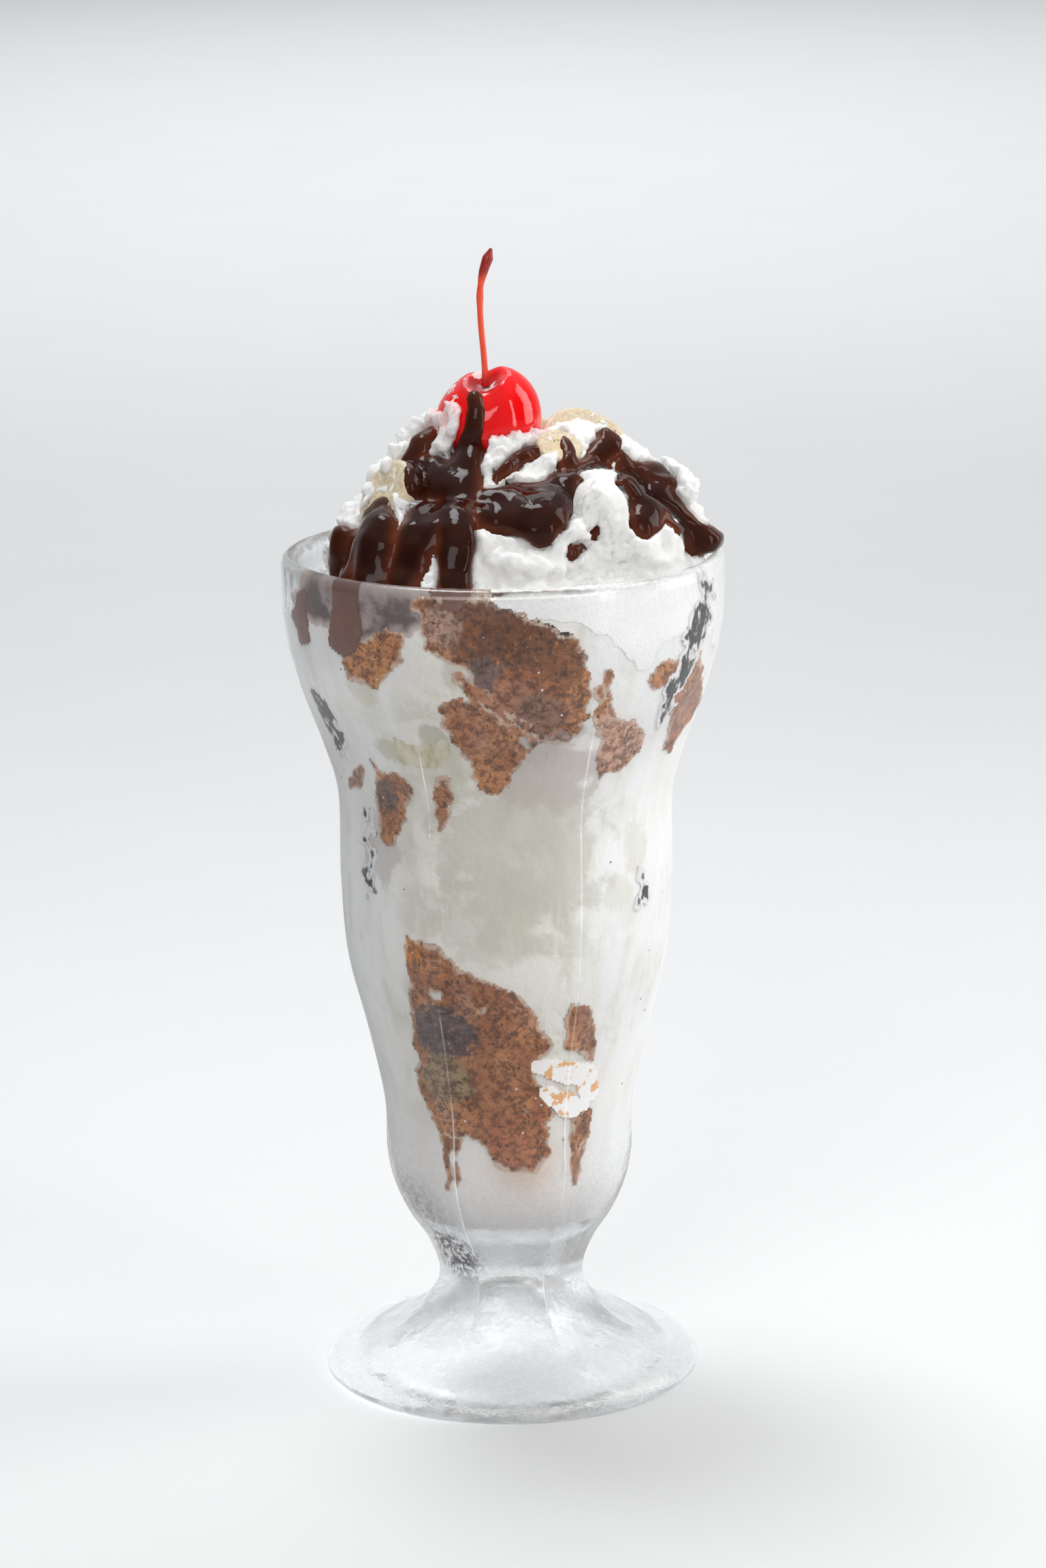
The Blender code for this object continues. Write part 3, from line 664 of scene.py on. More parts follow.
# Painted shade: dark specks at the neck and, fainter, under the bowl
painted_shade_specks = nodes.spread(nodes.noise(1.3, detail=6.0, rough=0.75), 0.44, 0.53)
at_neck = nodes.near((-12.0, -11.5, 30.5), 4.0, 9.5)
below_bowl = nodes.near((-19.5, -11.0, 39.0), 2.0, 14.0)
shadowed = nodes.math("MAXIMUM", at_neck, nodes.times(below_bowl, 0.45))
body = nodes.cover(nodes.times(nodes.times(shadowed, painted_shade_specks), 0.80), body, "BsdfDiffuse",
                   (0.05, 0.045, 0.055))
ray = nodes.add("LightPath", {}).outputs["Is Shadow Ray"]
body = nodes.cover(ray, body, "BsdfTransparent", (0.97, 0.98, 0.985))
nodes.tree.links.new(body, nodes.tree.nodes["Material Output"].inputs["Surface"])
dress(glass, clear_glass)
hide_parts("glass")

# %% [markdown]
# Vanilla ice cream
# The ice cream fills the glass to just under the whipped cream and has taken the form of its wall.
# Between food and glass there is no air, so the fill reaches a hair into the wall. It is one turned
# body along the glass's own inner outline.

# %% Ice cream
INTO_WALL = 0.15 * MM
FILL_STEPS = 112
CREAM_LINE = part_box("ice_cream")[1].z
wall_line = [(radius + INTO_WALL, height) for radius, height in inner_path if height < CREAM_LINE]
fill_outline = [(0.0, FLOOR - INTO_WALL), *wall_line, (inner_radius(CREAM_LINE), CREAM_LINE),
                (0.0, CREAM_LINE)]
ice_cream = turned("ice_cream_fill", fill_outline, FILL_STEPS)
shade(ice_cream)
print("ice cream up to", round(CREAM_LINE / MM, 1), "mm")

# %% [markdown]
# The look of ice cream behind glass
# Against the cold wall the ice cream isn't even. There are grey-green and yellowish patches where
# it is icy or stained by banana, and white milky runs where it has melted. Whiter, bluish upright
# bands at the sides of the glass are painted reflections. Each is a soft mask over the same off-white.

# %% Ice cream finish
NEUTRAL = (1.0, 0.9, 0.8)
vanilla, nodes = new_finish("vanilla ice cream", roughness=0.5, subsurface_weight=0.2,
                            subsurface_scale=0.002, subsurface_radius=NEUTRAL)
icy = nodes.spread(nodes.noise(16.0, detail=4.0, rough=0.6, bend=0.8), 0.44, 0.62)
nodes.paint(icy, (0.74, 0.72, 0.67), (0.58, 0.56, 0.49))
yellow = nodes.spread(nodes.noise(9.0, bend=0.5, upright=0.7), 0.55, 0.70)
nodes.tint(yellow, (0.68, 0.65, 0.49), 0.35)
runs = nodes.spread(nodes.noise(6.0, detail=5.0, bend=1.0, upright=0.25), 0.50, 0.62)
melted = nodes.math("MAXIMUM", nodes.spread(nodes.axis(2), 0.078, 0.050), nodes.times(runs, 0.55))
nodes.tint(melted, (0.76, 0.735, 0.72))
# Painted reflection: whiter, bluish upright bands towards the sides of the glass
sideways = nodes.math("ABSOLUTE", nodes.plus(nodes.axis(0), 0.003))
painted_reflection_bands = nodes.spread(nodes.noise(4.5, detail=5.0, upright=0.18), 0.30, 0.62, 0.35, 0.9)
nodes.tint(nodes.times(nodes.spread(sideways, 0.013, 0.024), painted_reflection_bands), (0.80, 0.805, 0.815))

# %% [markdown]
# Stains and painted shade in the ice cream
# Where baked pieces have soaked the ice cream it has a caramel or grey tint, and two large grey
# patches over the middle of the front are painted shade. Each patch is a ball round a place on the
# wall that noise has eaten into. A few black vanilla specks come last.

# %% Stains and painted shade in the ice cream
EATEN_SHARE = 1.6
PATCH_EDGE = (1.12, 1.42)


def stain_and_shade_patches(nodes, stains, ragged):
    """Tint ragged patches: place in the picture, reach in mm, colour and strength."""
    for spot, reach, colour, strength in stains:
        ball = nodes.near(on_wall(*spot) / MM, 0.0, reach)
        eaten = nodes.plus(ball, nodes.times(ragged, EATEN_SHARE))
        nodes.tint(nodes.spread(eaten, *PATCH_EDGE), colour, strength)


STAINS_AND_PAINTED_SHADE = [
    ((-24.5, 142.0), 7.0, (0.40, 0.375, 0.23), 0.55),
    ((-15.5, 145.0), 6.5, (0.36, 0.345, 0.25), 0.60),
    ((-29.5, 156.0), 8.0, (0.55, 0.49, 0.36), 0.40),
    ((7.0, 138.0), 22.0, (0.42, 0.37, 0.37), 0.65),
    ((-26.0, 120.0), 13.0, (0.44, 0.38, 0.37), 0.55),
    # Painted shade: the next two large grey patches over the middle of the front
    ((3.0, 118.0), 34.0, (0.50, 0.475, 0.415), 0.60),
    ((-3.0, 104.0), 22.0, (0.52, 0.495, 0.44), 0.50),
    ((27.0, 118.0), 9.0, (0.58, 0.56, 0.47), 0.45),
    ((23.0, 108.0), 8.0, (0.60, 0.58, 0.50), 0.45),
]
stain_and_shade_patches(nodes, STAINS_AND_PAINTED_SHADE, nodes.noise(7.0, detail=6.0, rough=0.62))
nodes.tint(nodes.near(on_wall(3.0, 47.0) / MM, 0.0, 11.5), (0.56, 0.36, 0.21), 0.65)
nodes.tint(nodes.spread(nodes.cells(7.0), 0.045, 0.030), (0.05, 0.04, 0.03))
nodes.feed(normal=nodes.bump(nodes.noise(1.6, detail=5.0), 0.25))
dress(ice_cream, vanilla)
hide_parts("ice_cream")

# %% [markdown]
# Sheets on the wall
# What is pressed against the glass is made from a fine grid that is bent along the wall. Faces are
# dropped from it until the torn outline is left, and so are flakes that are too small. Each
# vertex's distance from the outline is stored, because finishes change towards it.

# %% Wall sheets
CELL = 0.42 * MM
LEAST_CELLS = 4
LEAST_FLAKE = 10


def wall_sheet(name, turns, heights, lift):
    """A grid bent along the inner wall between two turns and two heights."""
    low, high = heights
    first, last = turns
    widest = inner_radius(high) + lift
    columns = max(LEAST_CELLS, ceil((last - first) * widest / CELL))
    rows = max(LEAST_CELLS, ceil((high - low) / CELL))
    piece = started(bpy.ops.mesh.primitive_grid_add, x_subdivisions=columns, y_subdivisions=rows,
                    size=1.0)
    piece.name = name
    radii = {}
    for vertex in piece.data.vertices:
        turn = first + (vertex.co.x + 0.5) * (last - first)
        height = low + (vertex.co.y + 0.5) * (high - low)
        key = round(height / MM, 3)
        if key not in radii:
            radii[key] = inner_radius(height) + lift
        vertex.co = (radii[key] * cos(turn), radii[key] * sin(turn), height)
    return piece


def shaken(point, seed, amount, size):
    """A point moved by smooth noise."""
    place = point / (size * MM) + Vector((seed * 7.3, seed * 3.1, seed * 5.7))
    return point + noise.noise_vector(place) * amount * MM


def keep_islands(piece, least=None):
    """Leave the connected parts of a mesh that have at least so many faces, or the largest one."""
    mesh = bmesh.new()
    mesh.from_mesh(piece.data)
    left = set(mesh.faces)
    islands = []
    while left:
        front = [left.pop()]
        island = {front[0].index}
        while front:
            for edge in front.pop().edges:
                for face in edge.link_faces:
                    if face in left:
                        left.remove(face)
                        island.add(face.index)
                        front.append(face)
        islands.append(island)
    mesh.free()
    least = least or max(len(island) for island in islands)
    kept = {index for island in islands if len(island) >= least for index in island}
    drop_faces(piece, lambda face: face.index not in kept)


def note_edge_distance(piece):
    """Store each vertex's distance from the torn outline, in millimetres."""
    mesh = bmesh.new()
    mesh.from_mesh(piece.data)
    outline_places = [vertex.co.copy() for vertex in mesh.verts if vertex.is_boundary]
    mesh.free()
    tree = KDTree(len(outline_places))
    for index, spot in enumerate(outline_places):
        tree.insert(spot, index)
    tree.balance()
    store(piece.data, "from_edge", [tree.find(vertex.co)[2] / MM for vertex in piece.data.vertices])


# %% [markdown]
# Pieces pressed against the glass
# A piece of cookie squeezed against the wall shows a flat face that follows the glass, with a torn,
# crumbly outline. A wall sheet keeps its faces only where a point just inside the wall lies in the
# CAD piece, after that point has been shaken by noise, which tears the edge. What is left is
# extruded inwards as deep as the CAD piece goes.

# %% Pieces that follow CAD nodes
BACK_OFF = 1.3 * MM
MARGIN = 2.0 * MM
BELOW_RIM = 1.2 * MM
TEAR_SIZE = 3.0
FINE_TEAR = 0.45
FINE_TEAR_SIZE = 1.1
FINE_SEED = 40
CRUMB_SIZE = 1.3 * MM
CRUMB_RELIEF = 0.12 * MM
DEEPEST_CRUMB = -0.7
RAY_STEP = 0.005 * MM
MOST_CROSSINGS = 12


def is_inside(tree, point):
    """Whether a ray from the point leaves the closed shape an odd number of times."""
    way = Vector((0.13, 0.21, 0.97)).normalized()
    crossings = 0
    hit = tree.ray_cast(point, way)
    while hit[0] is not None and crossings < MOST_CROSSINGS:
        crossings += 1
        hit = tree.ray_cast(hit[0] + way * RAY_STEP, way)
    return crossings % 2 == 1


def thicken_inwards(piece, outward, back):
    """Extrude a wall sheet to a flat back, `back` along `outward` from the axis."""
    edit(piece)
    bpy.ops.mesh.select_all(action="SELECT")
    bpy.ops.mesh.extrude_region_move(TRANSFORM_OT_translate={"value": (0.0, 0.0, 0.0)})
    mesh = bmesh.from_edit_mesh(piece.data)
    for vertex in mesh.verts:
        if vertex.select:
            vertex.co -= outward * (vertex.co.dot(outward) - back)
    bmesh.update_edit_mesh(piece.data)
    bpy.ops.mesh.select_all(action="SELECT")
    bpy.ops.mesh.normals_make_consistent(inside=False)
    done()
    shade(piece, 40.0)


def pressed_piece(node_name, seed, tear, lift):
    """The scene's own form of a CAD piece that is pressed against the wall."""
    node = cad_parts[node_name]
    low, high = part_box(node_name)
    solid = merged_mesh(node)
    tree = BVHTree.FromBMesh(solid)
    solid.free()
    places = coordinates(node.data)
    outward = Vector((*places[:, :2].mean(0), 0.0)).normalized()
    middle = atan2(outward.y, outward.x)
    side = Vector((-outward.y, outward.x, 0.0))
    spans = [atan2(Vector(spot).dot(side), Vector(spot).dot(outward)) for spot in places]
    back = min(float(spot[:2] @ np.array(outward[:2])) for spot in places)
    turn_margin = MARGIN / inner_radius(low.z)
    piece = wall_sheet(node_name + "_shown",
                       (middle + min(spans) - turn_margin, middle + max(spans) + turn_margin),
                       (low.z - MARGIN, min(high.z + MARGIN, RIM_TOP - BELOW_RIM)), lift)

    def outside(face):
        centre = face.calc_center_median()
        inwards = Vector((-centre.x, -centre.y, 0.0)).normalized()
        moved = shaken(shaken(centre, seed, tear, TEAR_SIZE), seed + FINE_SEED, tear * FINE_TEAR,
                       FINE_TEAR_SIZE)
        moved -= inwards * (moved - centre).dot(inwards)
        return not is_inside(tree, moved + inwards * BACK_OFF)

    drop_faces(piece, outside)
    keep_islands(piece)
    note_edge_distance(piece)
    for vertex in piece.data.vertices:
        relief = max(DEEPEST_CRUMB, noise.fractal(vertex.co / CRUMB_SIZE, 0.8, 2.0, 3)) * CRUMB_RELIEF
        vertex.co += Vector((vertex.co.x, vertex.co.y, 0.0)).normalized() * relief
    thicken_inwards(piece, outward, back)
    settle(piece, node_name + "_shown")
    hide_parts(node_name)
    return piece


# %% [markdown]
# Baked cookie
# The pieces are a soft golden-brown crumb. Their torn edges are darker, where the crust was.
# Where they lie close to the glass they look through a milky film of melted ice cream, strongest in
# upright veils, and one piece has a purple-grey stain of chocolate and a frothy yellow-green patch.

# %% Cookie finish
crumb, nodes = new_finish("baked cookie", roughness=0.85)
edge = nodes.attribute("from_edge")
nodes.paint(nodes.spread(nodes.noise(9.0, detail=5.0), 0.36, 0.62), (0.32, 0.105, 0.034),
            (0.54, 0.225, 0.085))
grain = nodes.noise(1.8, detail=7.0, rough=0.72)
rim_tone = nodes.plus(edge, nodes.times(grain, 2.0))
nodes.tint(nodes.spread(rim_tone, 2.3, 1.2), (0.42, 0.17, 0.045), 0.45)
veil = nodes.spread(nodes.noise(6.0, detail=4.0, upright=0.20), 0.50, 0.72, 0.0, 0.42)
nodes.tint(veil, (0.58, 0.37, 0.30))
TINTS = [
    ((-4.0, 167.5), 15.0, (0.17, 0.050, 0.010), 0.92),
    ((5.0, 166.0), 14.0, (0.15, 0.046, 0.009), 0.90),
    ((13.0, 161.0), 10.0, (0.19, 0.060, 0.014), 0.80),
    ((-13.5, 168.0), 8.0, (0.50, 0.34, 0.28), 0.70),
    ((1.0, 152.0), 12.0, (0.40, 0.19, 0.12), 0.50),
    ((-4.0, 158.5), 7.0, (0.12, 0.09, 0.10), 0.80),
    ((7.5, 149.0), 10.0, (0.22, 0.14, 0.12), 0.60),
    ((10.5, 141.0), 10.0, (0.34, 0.28, 0.29), 0.80),
    ((25.0, 145.0), 18.0, (0.74, 0.47, 0.37), 0.60),
    ((-29.0, 161.0), 14.0, (0.66, 0.30, 0.10), 0.60),
    ((-9.0, 148.0), 10.0, (0.56, 0.23, 0.11), 0.50),
    ((-25.0, 131.0), 7.0, (0.10, 0.065, 0.060), 0.75),
    ((-19.5, 96.0), 6.0, (0.66, 0.22, 0.022), 0.95),
    ((-13.5, 78.0), 13.0, (0.11, 0.075, 0.085), 0.95),
    ((-13.0, 67.5), 11.0, (0.33, 0.25, 0.13), 0.85),
    ((4.0, 52.0), 15.0, (0.46, 0.14, 0.050), 0.55),
]
stain_and_shade_patches(nodes, TINTS, nodes.noise(2.6, detail=7.0, rough=0.7))

# %% [markdown]
# Pores, cracks and milk
# Over the stains come dark and pale grains, cracks and pores darkened with painted shade, and flecks
# of chocolate, then the milky line round each piece and small drops of melted ice cream. The pores'
# places are jittered, so that they don't look like neat circles.

# %% Pores and cracks
JITTER = 0.0024
jitter = nodes.add("TexNoise", {"Vector": nodes.place, "Scale": 420.0, "Detail": 2.0}).outputs[1]
jitter = nodes.add("VectorMath", {0: jitter, "Scale": JITTER}, operation="SCALE").outputs[0]
rough_place = nodes.add("VectorMath", {0: nodes.place, 1: jitter}).outputs[0]
nodes.tint(nodes.spread(grain, 0.58, 0.38), (0.34, 0.26, 0.20), blend="MULTIPLY")
pale_crumb = nodes.spread(nodes.noise(1.0, detail=5.0, rough=0.75), 0.54, 0.70)
nodes.tint(pale_crumb, (0.66, 0.33, 0.14), 0.40)
rift = nodes.add("TexNoise", {"Vector": rough_place, "Scale": 1.0 / (6.0 * MM), "Detail": 5.0,
                              "Roughness": 0.65}).outputs[0]
# Painted shade in the cracks
shaded_cracks = nodes.spread(nodes.math("ABSOLUTE", nodes.math("SUBTRACT", rift, 0.5)), 0.026, 0.006)
shaded_cracks = nodes.times(shaded_cracks, nodes.spread(nodes.noise(9.0), 0.46, 0.56))
nodes.tint(shaded_cracks, (0.07, 0.028, 0.018), 0.8)
# Painted shade in the pores, which also dent the bump
shaded_pores = nodes.spread(nodes.cells(1.5, rough_place), 0.30, 0.10)
shaded_pores = nodes.times(shaded_pores, nodes.spread(nodes.noise(5.0), 0.44, 0.60))
nodes.tint(shaded_pores, (0.060, 0.018, 0.008), 0.75)
flecks = nodes.spread(nodes.noise(3.0, detail=7.0, rough=0.78, upright=1.7), 0.66, 0.70)
nodes.tint(flecks, (0.065, 0.040, 0.040), 0.85)
milk_line = nodes.plus(edge, nodes.times(nodes.noise(3.5, detail=5.0), 4.5))
nodes.tint(nodes.spread(milk_line, 3.0, 2.0, 0.0, 0.70), (0.68, 0.56, 0.47))
nodes.tint(nodes.spread(nodes.cells(3.6), 0.085, 0.060), (0.84, 0.80, 0.77), 0.8)
nodes.feed(normal=nodes.bump(nodes.math("SUBTRACT", grain, shaded_pores), 0.45))
print("cookie finish nodes:", len(nodes.tree.nodes))

# %% [markdown]
# The pieces of cookie
# Each CAD piece gets its torn form. They stand a hair further into the glass one after another, so
# that two pieces that overlap never share a face.

# %% Cookie pieces
TEAR = 1.1
FIRST_LIFT = 0.34
NEXT_LIFT = 0.02
cookie_names = sorted((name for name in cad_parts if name.startswith("cookie_piece")),
                      key=lambda name: int(name.split("_")[-1]))
for seed, name in enumerate(cookie_names):
    piece = pressed_piece(name, seed, TEAR, (FIRST_LIFT + NEXT_LIFT * seed) * MM)
    dress(piece, crumb)
print("cookie pieces:", len(cookie_names))

# %% [markdown]
# Banana behind the glass
# One slice of banana is squeezed against the wall below the upper pieces of cookie. It is
# translucent and greenish-yellow there, with the upright grain of the squashed fruit.

# %% Banana against the wall
pressed_banana, nodes = new_finish("pressed banana", roughness=0.4)
fibres = nodes.noise(3.0, detail=5.0, upright=0.3)
nodes.paint(nodes.spread(fibres, 0.35, 0.65), (0.42, 0.385, 0.24), (0.64, 0.61, 0.49))
nodes.feed(normal=nodes.bump(fibres, 0.3))
banana_on_wall = pressed_piece("banana_piece_1", 31, 0.8, 0.24 * MM)
dress(banana_on_wall, pressed_banana)

# %% [markdown]
# Places in the picture
# Sauce and drips are drawn as runs: a list of places across and up, with a half width, all in
# millimetres on the upright plane through the glass's middle, as the eye sees them. The sauce's
# height over a run is a dome, so runs that lie side by side leave a crease between them, as thick
# sauce does.

# %% Runs
NOT_COVERED = -99.0
THINNEST = 1.0
THICKEST = 2.5
THICKER_WITH_WIDTH = 0.30
CREASE_POWER = 6


def in_picture(spots, side):
    """Across and up, in millimetres, where spots show to an eye turned by `side` about the glass."""
    back_turn = np.array(Matrix.Rotation(-side, 3, "Z"))
    local = spots @ back_turn.T
    share = EYE.y / (EYE.y - local[:, 1])
    across = EYE.x + (local[:, 0] - EYE.x) * share
    up = EYE.z + (local[:, 2] - EYE.z) * share
    return across / MM, up / MM


def cover_of(across, up, runs):
    """How far inside the runs places are, and the sauce's height over them, in millimetres."""
    inside = np.full(len(across), NOT_COVERED)
    heights = np.zeros(len(across))
    for run in runs:
        run_height = np.zeros(len(across))
        for (ax, az, a_width), (bx, bz, b_width) in zip(run, run[1:]):
            length_squared = (bx - ax) ** 2 + (bz - az) ** 2
            along = np.clip(((across - ax) * (bx - ax) + (up - az) * (bz - az)) / length_squared, 0, 1)
            width = a_width + along * (b_width - a_width)
            gap = np.hypot(across - ax - along * (bx - ax), up - az - along * (bz - az))
            inside = np.maximum(inside, width - gap)
            thick = np.clip(THICKER_WITH_WIDTH * width + 1.0, THINNEST, THICKEST)
            dome = thick * np.sqrt(np.clip(1.0 - (gap / width) ** 2, 0.0, 1.0))
            run_height = np.maximum(run_height, dome)
        heights += run_height ** CREASE_POWER
    return inside, heights ** (1 / CREASE_POWER)


# %% [markdown]
# The heap of whipped cream
# Spooned cream is a pile of soft lumps with ragged little tufts. The CAD heap gives its form. The
# pockets that the CAD leaves for cherry, banana and cookie are filled again with slightly smaller
# copies of those pieces, and with full copies on the heap that the sauce will lie on.

# %% Heap
SHRINK = 0.93
FILLERS = ["cherry", "cookie_piece_1", "cookie_piece_5", "banana_slice_1", "banana_slice_2",
           "banana_slice_3", "banana_slice_4", "banana_slice_5"]


def merged_copy(node_name, name, size=1.0):
    """A merged copy of a CAD node's mesh, scaled about its middle."""
    piece = copy_of(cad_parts[node_name], name)
    edit(piece)
    merge_seams()
    low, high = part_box(node_name)
    bpy.ops.transform.resize(value=(size, size, size), center_override=(low + high) / 2)
    done()
    return piece


mound = merged_copy("whipped_cream", "mound")
sauce_base = join([copy_of(mound, "sauce_base"), *[merged_copy(name, "filler") for name in FILLERS]])
mound_tree = search_tree(sauce_base.data)

# %% [markdown]
# Lumps and tufts
# More lumps are set where they show in the picture. Each is a small ball whose middle lies behind
# the heap's surface as the eye sees it, so that it stands out by the amount given.

# %% Lumps
# Across, up, radius and how far proud of the heap, in millimetres
LUMPS = [
    (20.5, 194.6, 7.9, 5.4), (26.5, 189.5, 5.0, 2.0), (15.0, 188.0, 3.5, 1.5),
    (-1.5, 182.4, 3.0, 2.6), (2.6, 181.6, 2.6, 2.4), (7.4, 180.8, 3.0, 2.6), (11.6, 180.6, 2.8, 2.2),
    (-11.4, 210.0, 3.2, 2.4), (-12.4, 207.2, 2.6, 2.2), (-14.8, 213.6, 2.2, 1.8), (-12.4, 213.8, 2.4, 2.0),
    (-9.6, 214.2, 2.2, 2.0), (-9.4, 211.4, 2.6, 2.6), (-10.0, 208.4, 2.4, 2.4), (-10.8, 216.0, 1.6, 1.6),
    (-18.0, 212.0, 2.0, 1.6), (-20.6, 209.6, 1.9, 1.6), (-22.6, 206.6, 2.0, 1.8), (-24.6, 203.4, 2.0, 1.8),
    (-27.2, 202.0, 1.8, 1.6), (-28.4, 198.6, 2.0, 1.6), (-29.0, 195.0, 2.0, 1.4), (-22.5, 196.0, 2.4, 1.6),
    (-16.9, 194.9, 1.6, 1.6),
    (-6.4, 197.6, 2.2, 1.6), (-5.0, 196.2, 1.6, 1.2), (-1.0, 206.0, 4.0, 2.2),
    (3.6, 208.0, 3.0, 2.0), (-3.6, 203.0, 3.2, 1.8), (0.6, 200.4, 3.0, 1.6),
    (6.0, 209.6, 2.6, 1.6), (10.8, 203.4, 2.6, 1.8), (4.6, 204.0, 2.2, 1.4),
    (-4.5, 186.5, 3.0, 1.6), (-1.3, 186.6, 3.4, 2.4), (2.6, 184.6, 3.2, 2.6), (1.5, 187.2, 2.0, 2.0),
    (7.0, 182.8, 3.4, 2.2), (11.4, 183.8, 3.4, 2.6), (15.5, 182.6, 3.4, 1.8), (10.4, 186.4, 2.0, 2.0),
    (20.0, 183.0, 4.0, 1.8), (25.0, 184.6, 4.4, 2.0), (30.0, 186.0, 4.6, 2.2),
    (34.0, 188.6, 4.2, 1.8), (-16.6, 184.5, 2.2, 1.2), (-14.6, 186.4, 2.4, 1.4),
    (36.5, 200.0, 4.2, 2.4), (38.6, 197.6, 4.0, 2.0), (34.5, 202.4, 2.8, 1.6),
    (31.0, 199.0, 3.0, 1.6), (24.5, 206.6, 3.4, 1.6), (28.0, 196.6, 2.6, 1.4),
]
lump = started(bpy.ops.mesh.primitive_ico_sphere_add, subdivisions=3, radius=1.0)
lumps = []
for across, up, radius, proud in LUMPS:
    plane_place = Vector((across * MM, 0.0, up * MM))
    way = (plane_place - EYE).normalized()
    spot = mound_tree.ray_cast(EYE, way)[0] or plane_place
    made = copy_of(lump, "lump")
    made.matrix_world = (Matrix.Translation(spot + way * (radius - proud) * MM)
                         @ Matrix.Scale(radius * MM, 4))
    lumps.append(settle(made, "lump"))
bpy.data.objects.remove(lump)
mound = join([mound, *lumps, *[merged_copy(name, "filler", SHRINK) for name in FILLERS]])
print("lumps:", len(lumps))

# %% [markdown]
# Hot fudge, where it lies
# Fudge is poured over the top and runs down in lobes and folds. Its runs are drawn for the side
# that the picture shows, and in the same way for the two sides that it doesn't show.

# %% Fudge runs
# For each side of the glass: across, up and half width of each run's points, in millimetres
FUDGE_RUNS = {
    0.0: [
        [(-6.0, 218.3, 2.1), (-5.8, 214.8, 2.7), (-5.8, 211.2, 3.0), (-7.0, 207.4, 3.5),
         (-8.1, 203.5, 3.6), (-10.3, 199.9, 4.4)],
        [(-15.2, 211.4, 1.2), (-17.8, 208.6, 2.3), (-19.6, 204.2, 2.8), (-19.2, 199.2, 2.9),
         (-16.6, 197.1, 2.0)],
        [(-18.6, 202.5, 3.0), (-14.4, 200.9, 5.2), (-10.3, 199.6, 4.8)],
        [(-7.5, 199.9, 3.4), (-10.3, 193.6, 4.4), (-9.7, 186.4, 4.3), (-10.5, 177.9, 4.3)],
        [(-16.7, 192.1, 4.6), (-18.8, 186.4, 4.6), (-21.8, 178.6, 3.6)],
        [(-26.1, 195.3, 2.4), (-26.5, 192.1, 3.8), (-28.0, 186.4, 4.5), (-28.8, 179.3, 4.2)],
        [(-36.3, 189.9, 1.4), (-35.3, 188.6, 2.6), (-35.7, 185.0, 2.6), (-35.8, 178.7, 2.3)],
        [(-32.5, 189.3, 1.3), (-33.0, 185.0, 1.4), (-33.5, 179.7, 1.3)],
        [(-1.9, 194.3, 5.0), (3.7, 193.6, 6.4), (8.6, 193.6, 6.6), (12.8, 197.8, 4.5),
         (17.1, 201.4, 2.8), (19.5, 203.8, 1.7)],
        [(3.7, 190.7, 3.7), (8.9, 188.6, 3.5)],
        [(-1.1, 201.4, 1.1), (2.4, 204.2, 2.1), (6.6, 206.3, 1.8), (9.4, 207.4, 1.0)],
        [(12.9, 210.2, 0.9), (14.0, 207.7, 2.0), (14.6, 204.2, 2.3)],
        [(22.4, 210.5, 1.4), (23.7, 207.7, 3.0), (21.3, 205.6, 3.0)],
        [(19.5, 204.2, 1.8), (22.7, 201.4, 1.7), (25.1, 198.9, 1.2)],
        [(26.5, 205.2, 1.4), (27.6, 201.4, 2.8), (31.7, 195.0, 4.3), (31.0, 190.7, 3.5)],
        [(29.7, 202.8, 1.7), (33.1, 201.4, 3.2), (35.6, 199.9, 2.7)],
        [(33.8, 197.1, 3.2), (37.3, 192.8, 2.9), (40.8, 189.3, 2.8), (43.6, 186.4, 3.9),
         (47.0, 185.4, 3.0)],
        [(42.6, 189.9, 1.0), (45.0, 189.1, 0.9)],
        [(17.6, 185.7, 1.0), (16.2, 184.7, 1.5), (15.2, 183.2, 1.2)],
        [(20.7, 192.1, 0.7), (20.5, 190.0, 0.9), (19.8, 187.9, 0.7)],
    ],
    radians(120.0): [
        [(-20, 208, 3.0), (-14, 200, 4.0), (-12, 192, 5.0), (-10, 184, 4.0)],
        [(0, 204, 3.5), (5, 196, 5.0), (8, 188, 4.5), (9, 181, 3.5)],
        [(-26, 200, 3.0), (-30, 190, 4.0), (-31, 183, 3.5)],
    ],
    radians(240.0): [
        [(20, 208, 3.0), (16, 199, 4.5), (14, 190, 5.0), (13, 182, 4.0)],
        [(-2, 205, 3.0), (-4, 196, 4.5), (-9, 188, 4.5), (-10, 181, 3.5)],
        [(27, 198, 3.0), (31, 189, 4.0), (32, 182, 3.5)],
    ],
}
print("runs of fudge:", sum(len(runs) for runs in FUDGE_RUNS.values()))

# %% [markdown]
# How much sauce lies on a place
# A place on the heap is covered where it lies in a run and isn't far behind what the eye sees
# first. The places wander a little before they are looked up, so that no run has a ruled edge. The
# amounts are evened out between neighbouring vertices.

# %% Sauce on the heap
BEHIND_FULL = 4.0
BEHIND_NONE = 9.0
WANDER = 0.7 * MM
WANDER_SIZE = 4.5 * MM
OTHER_SIDES = 4.0 * MM
NEAR_A_RUN = -2.0
PUSHED_OUT = 8.0


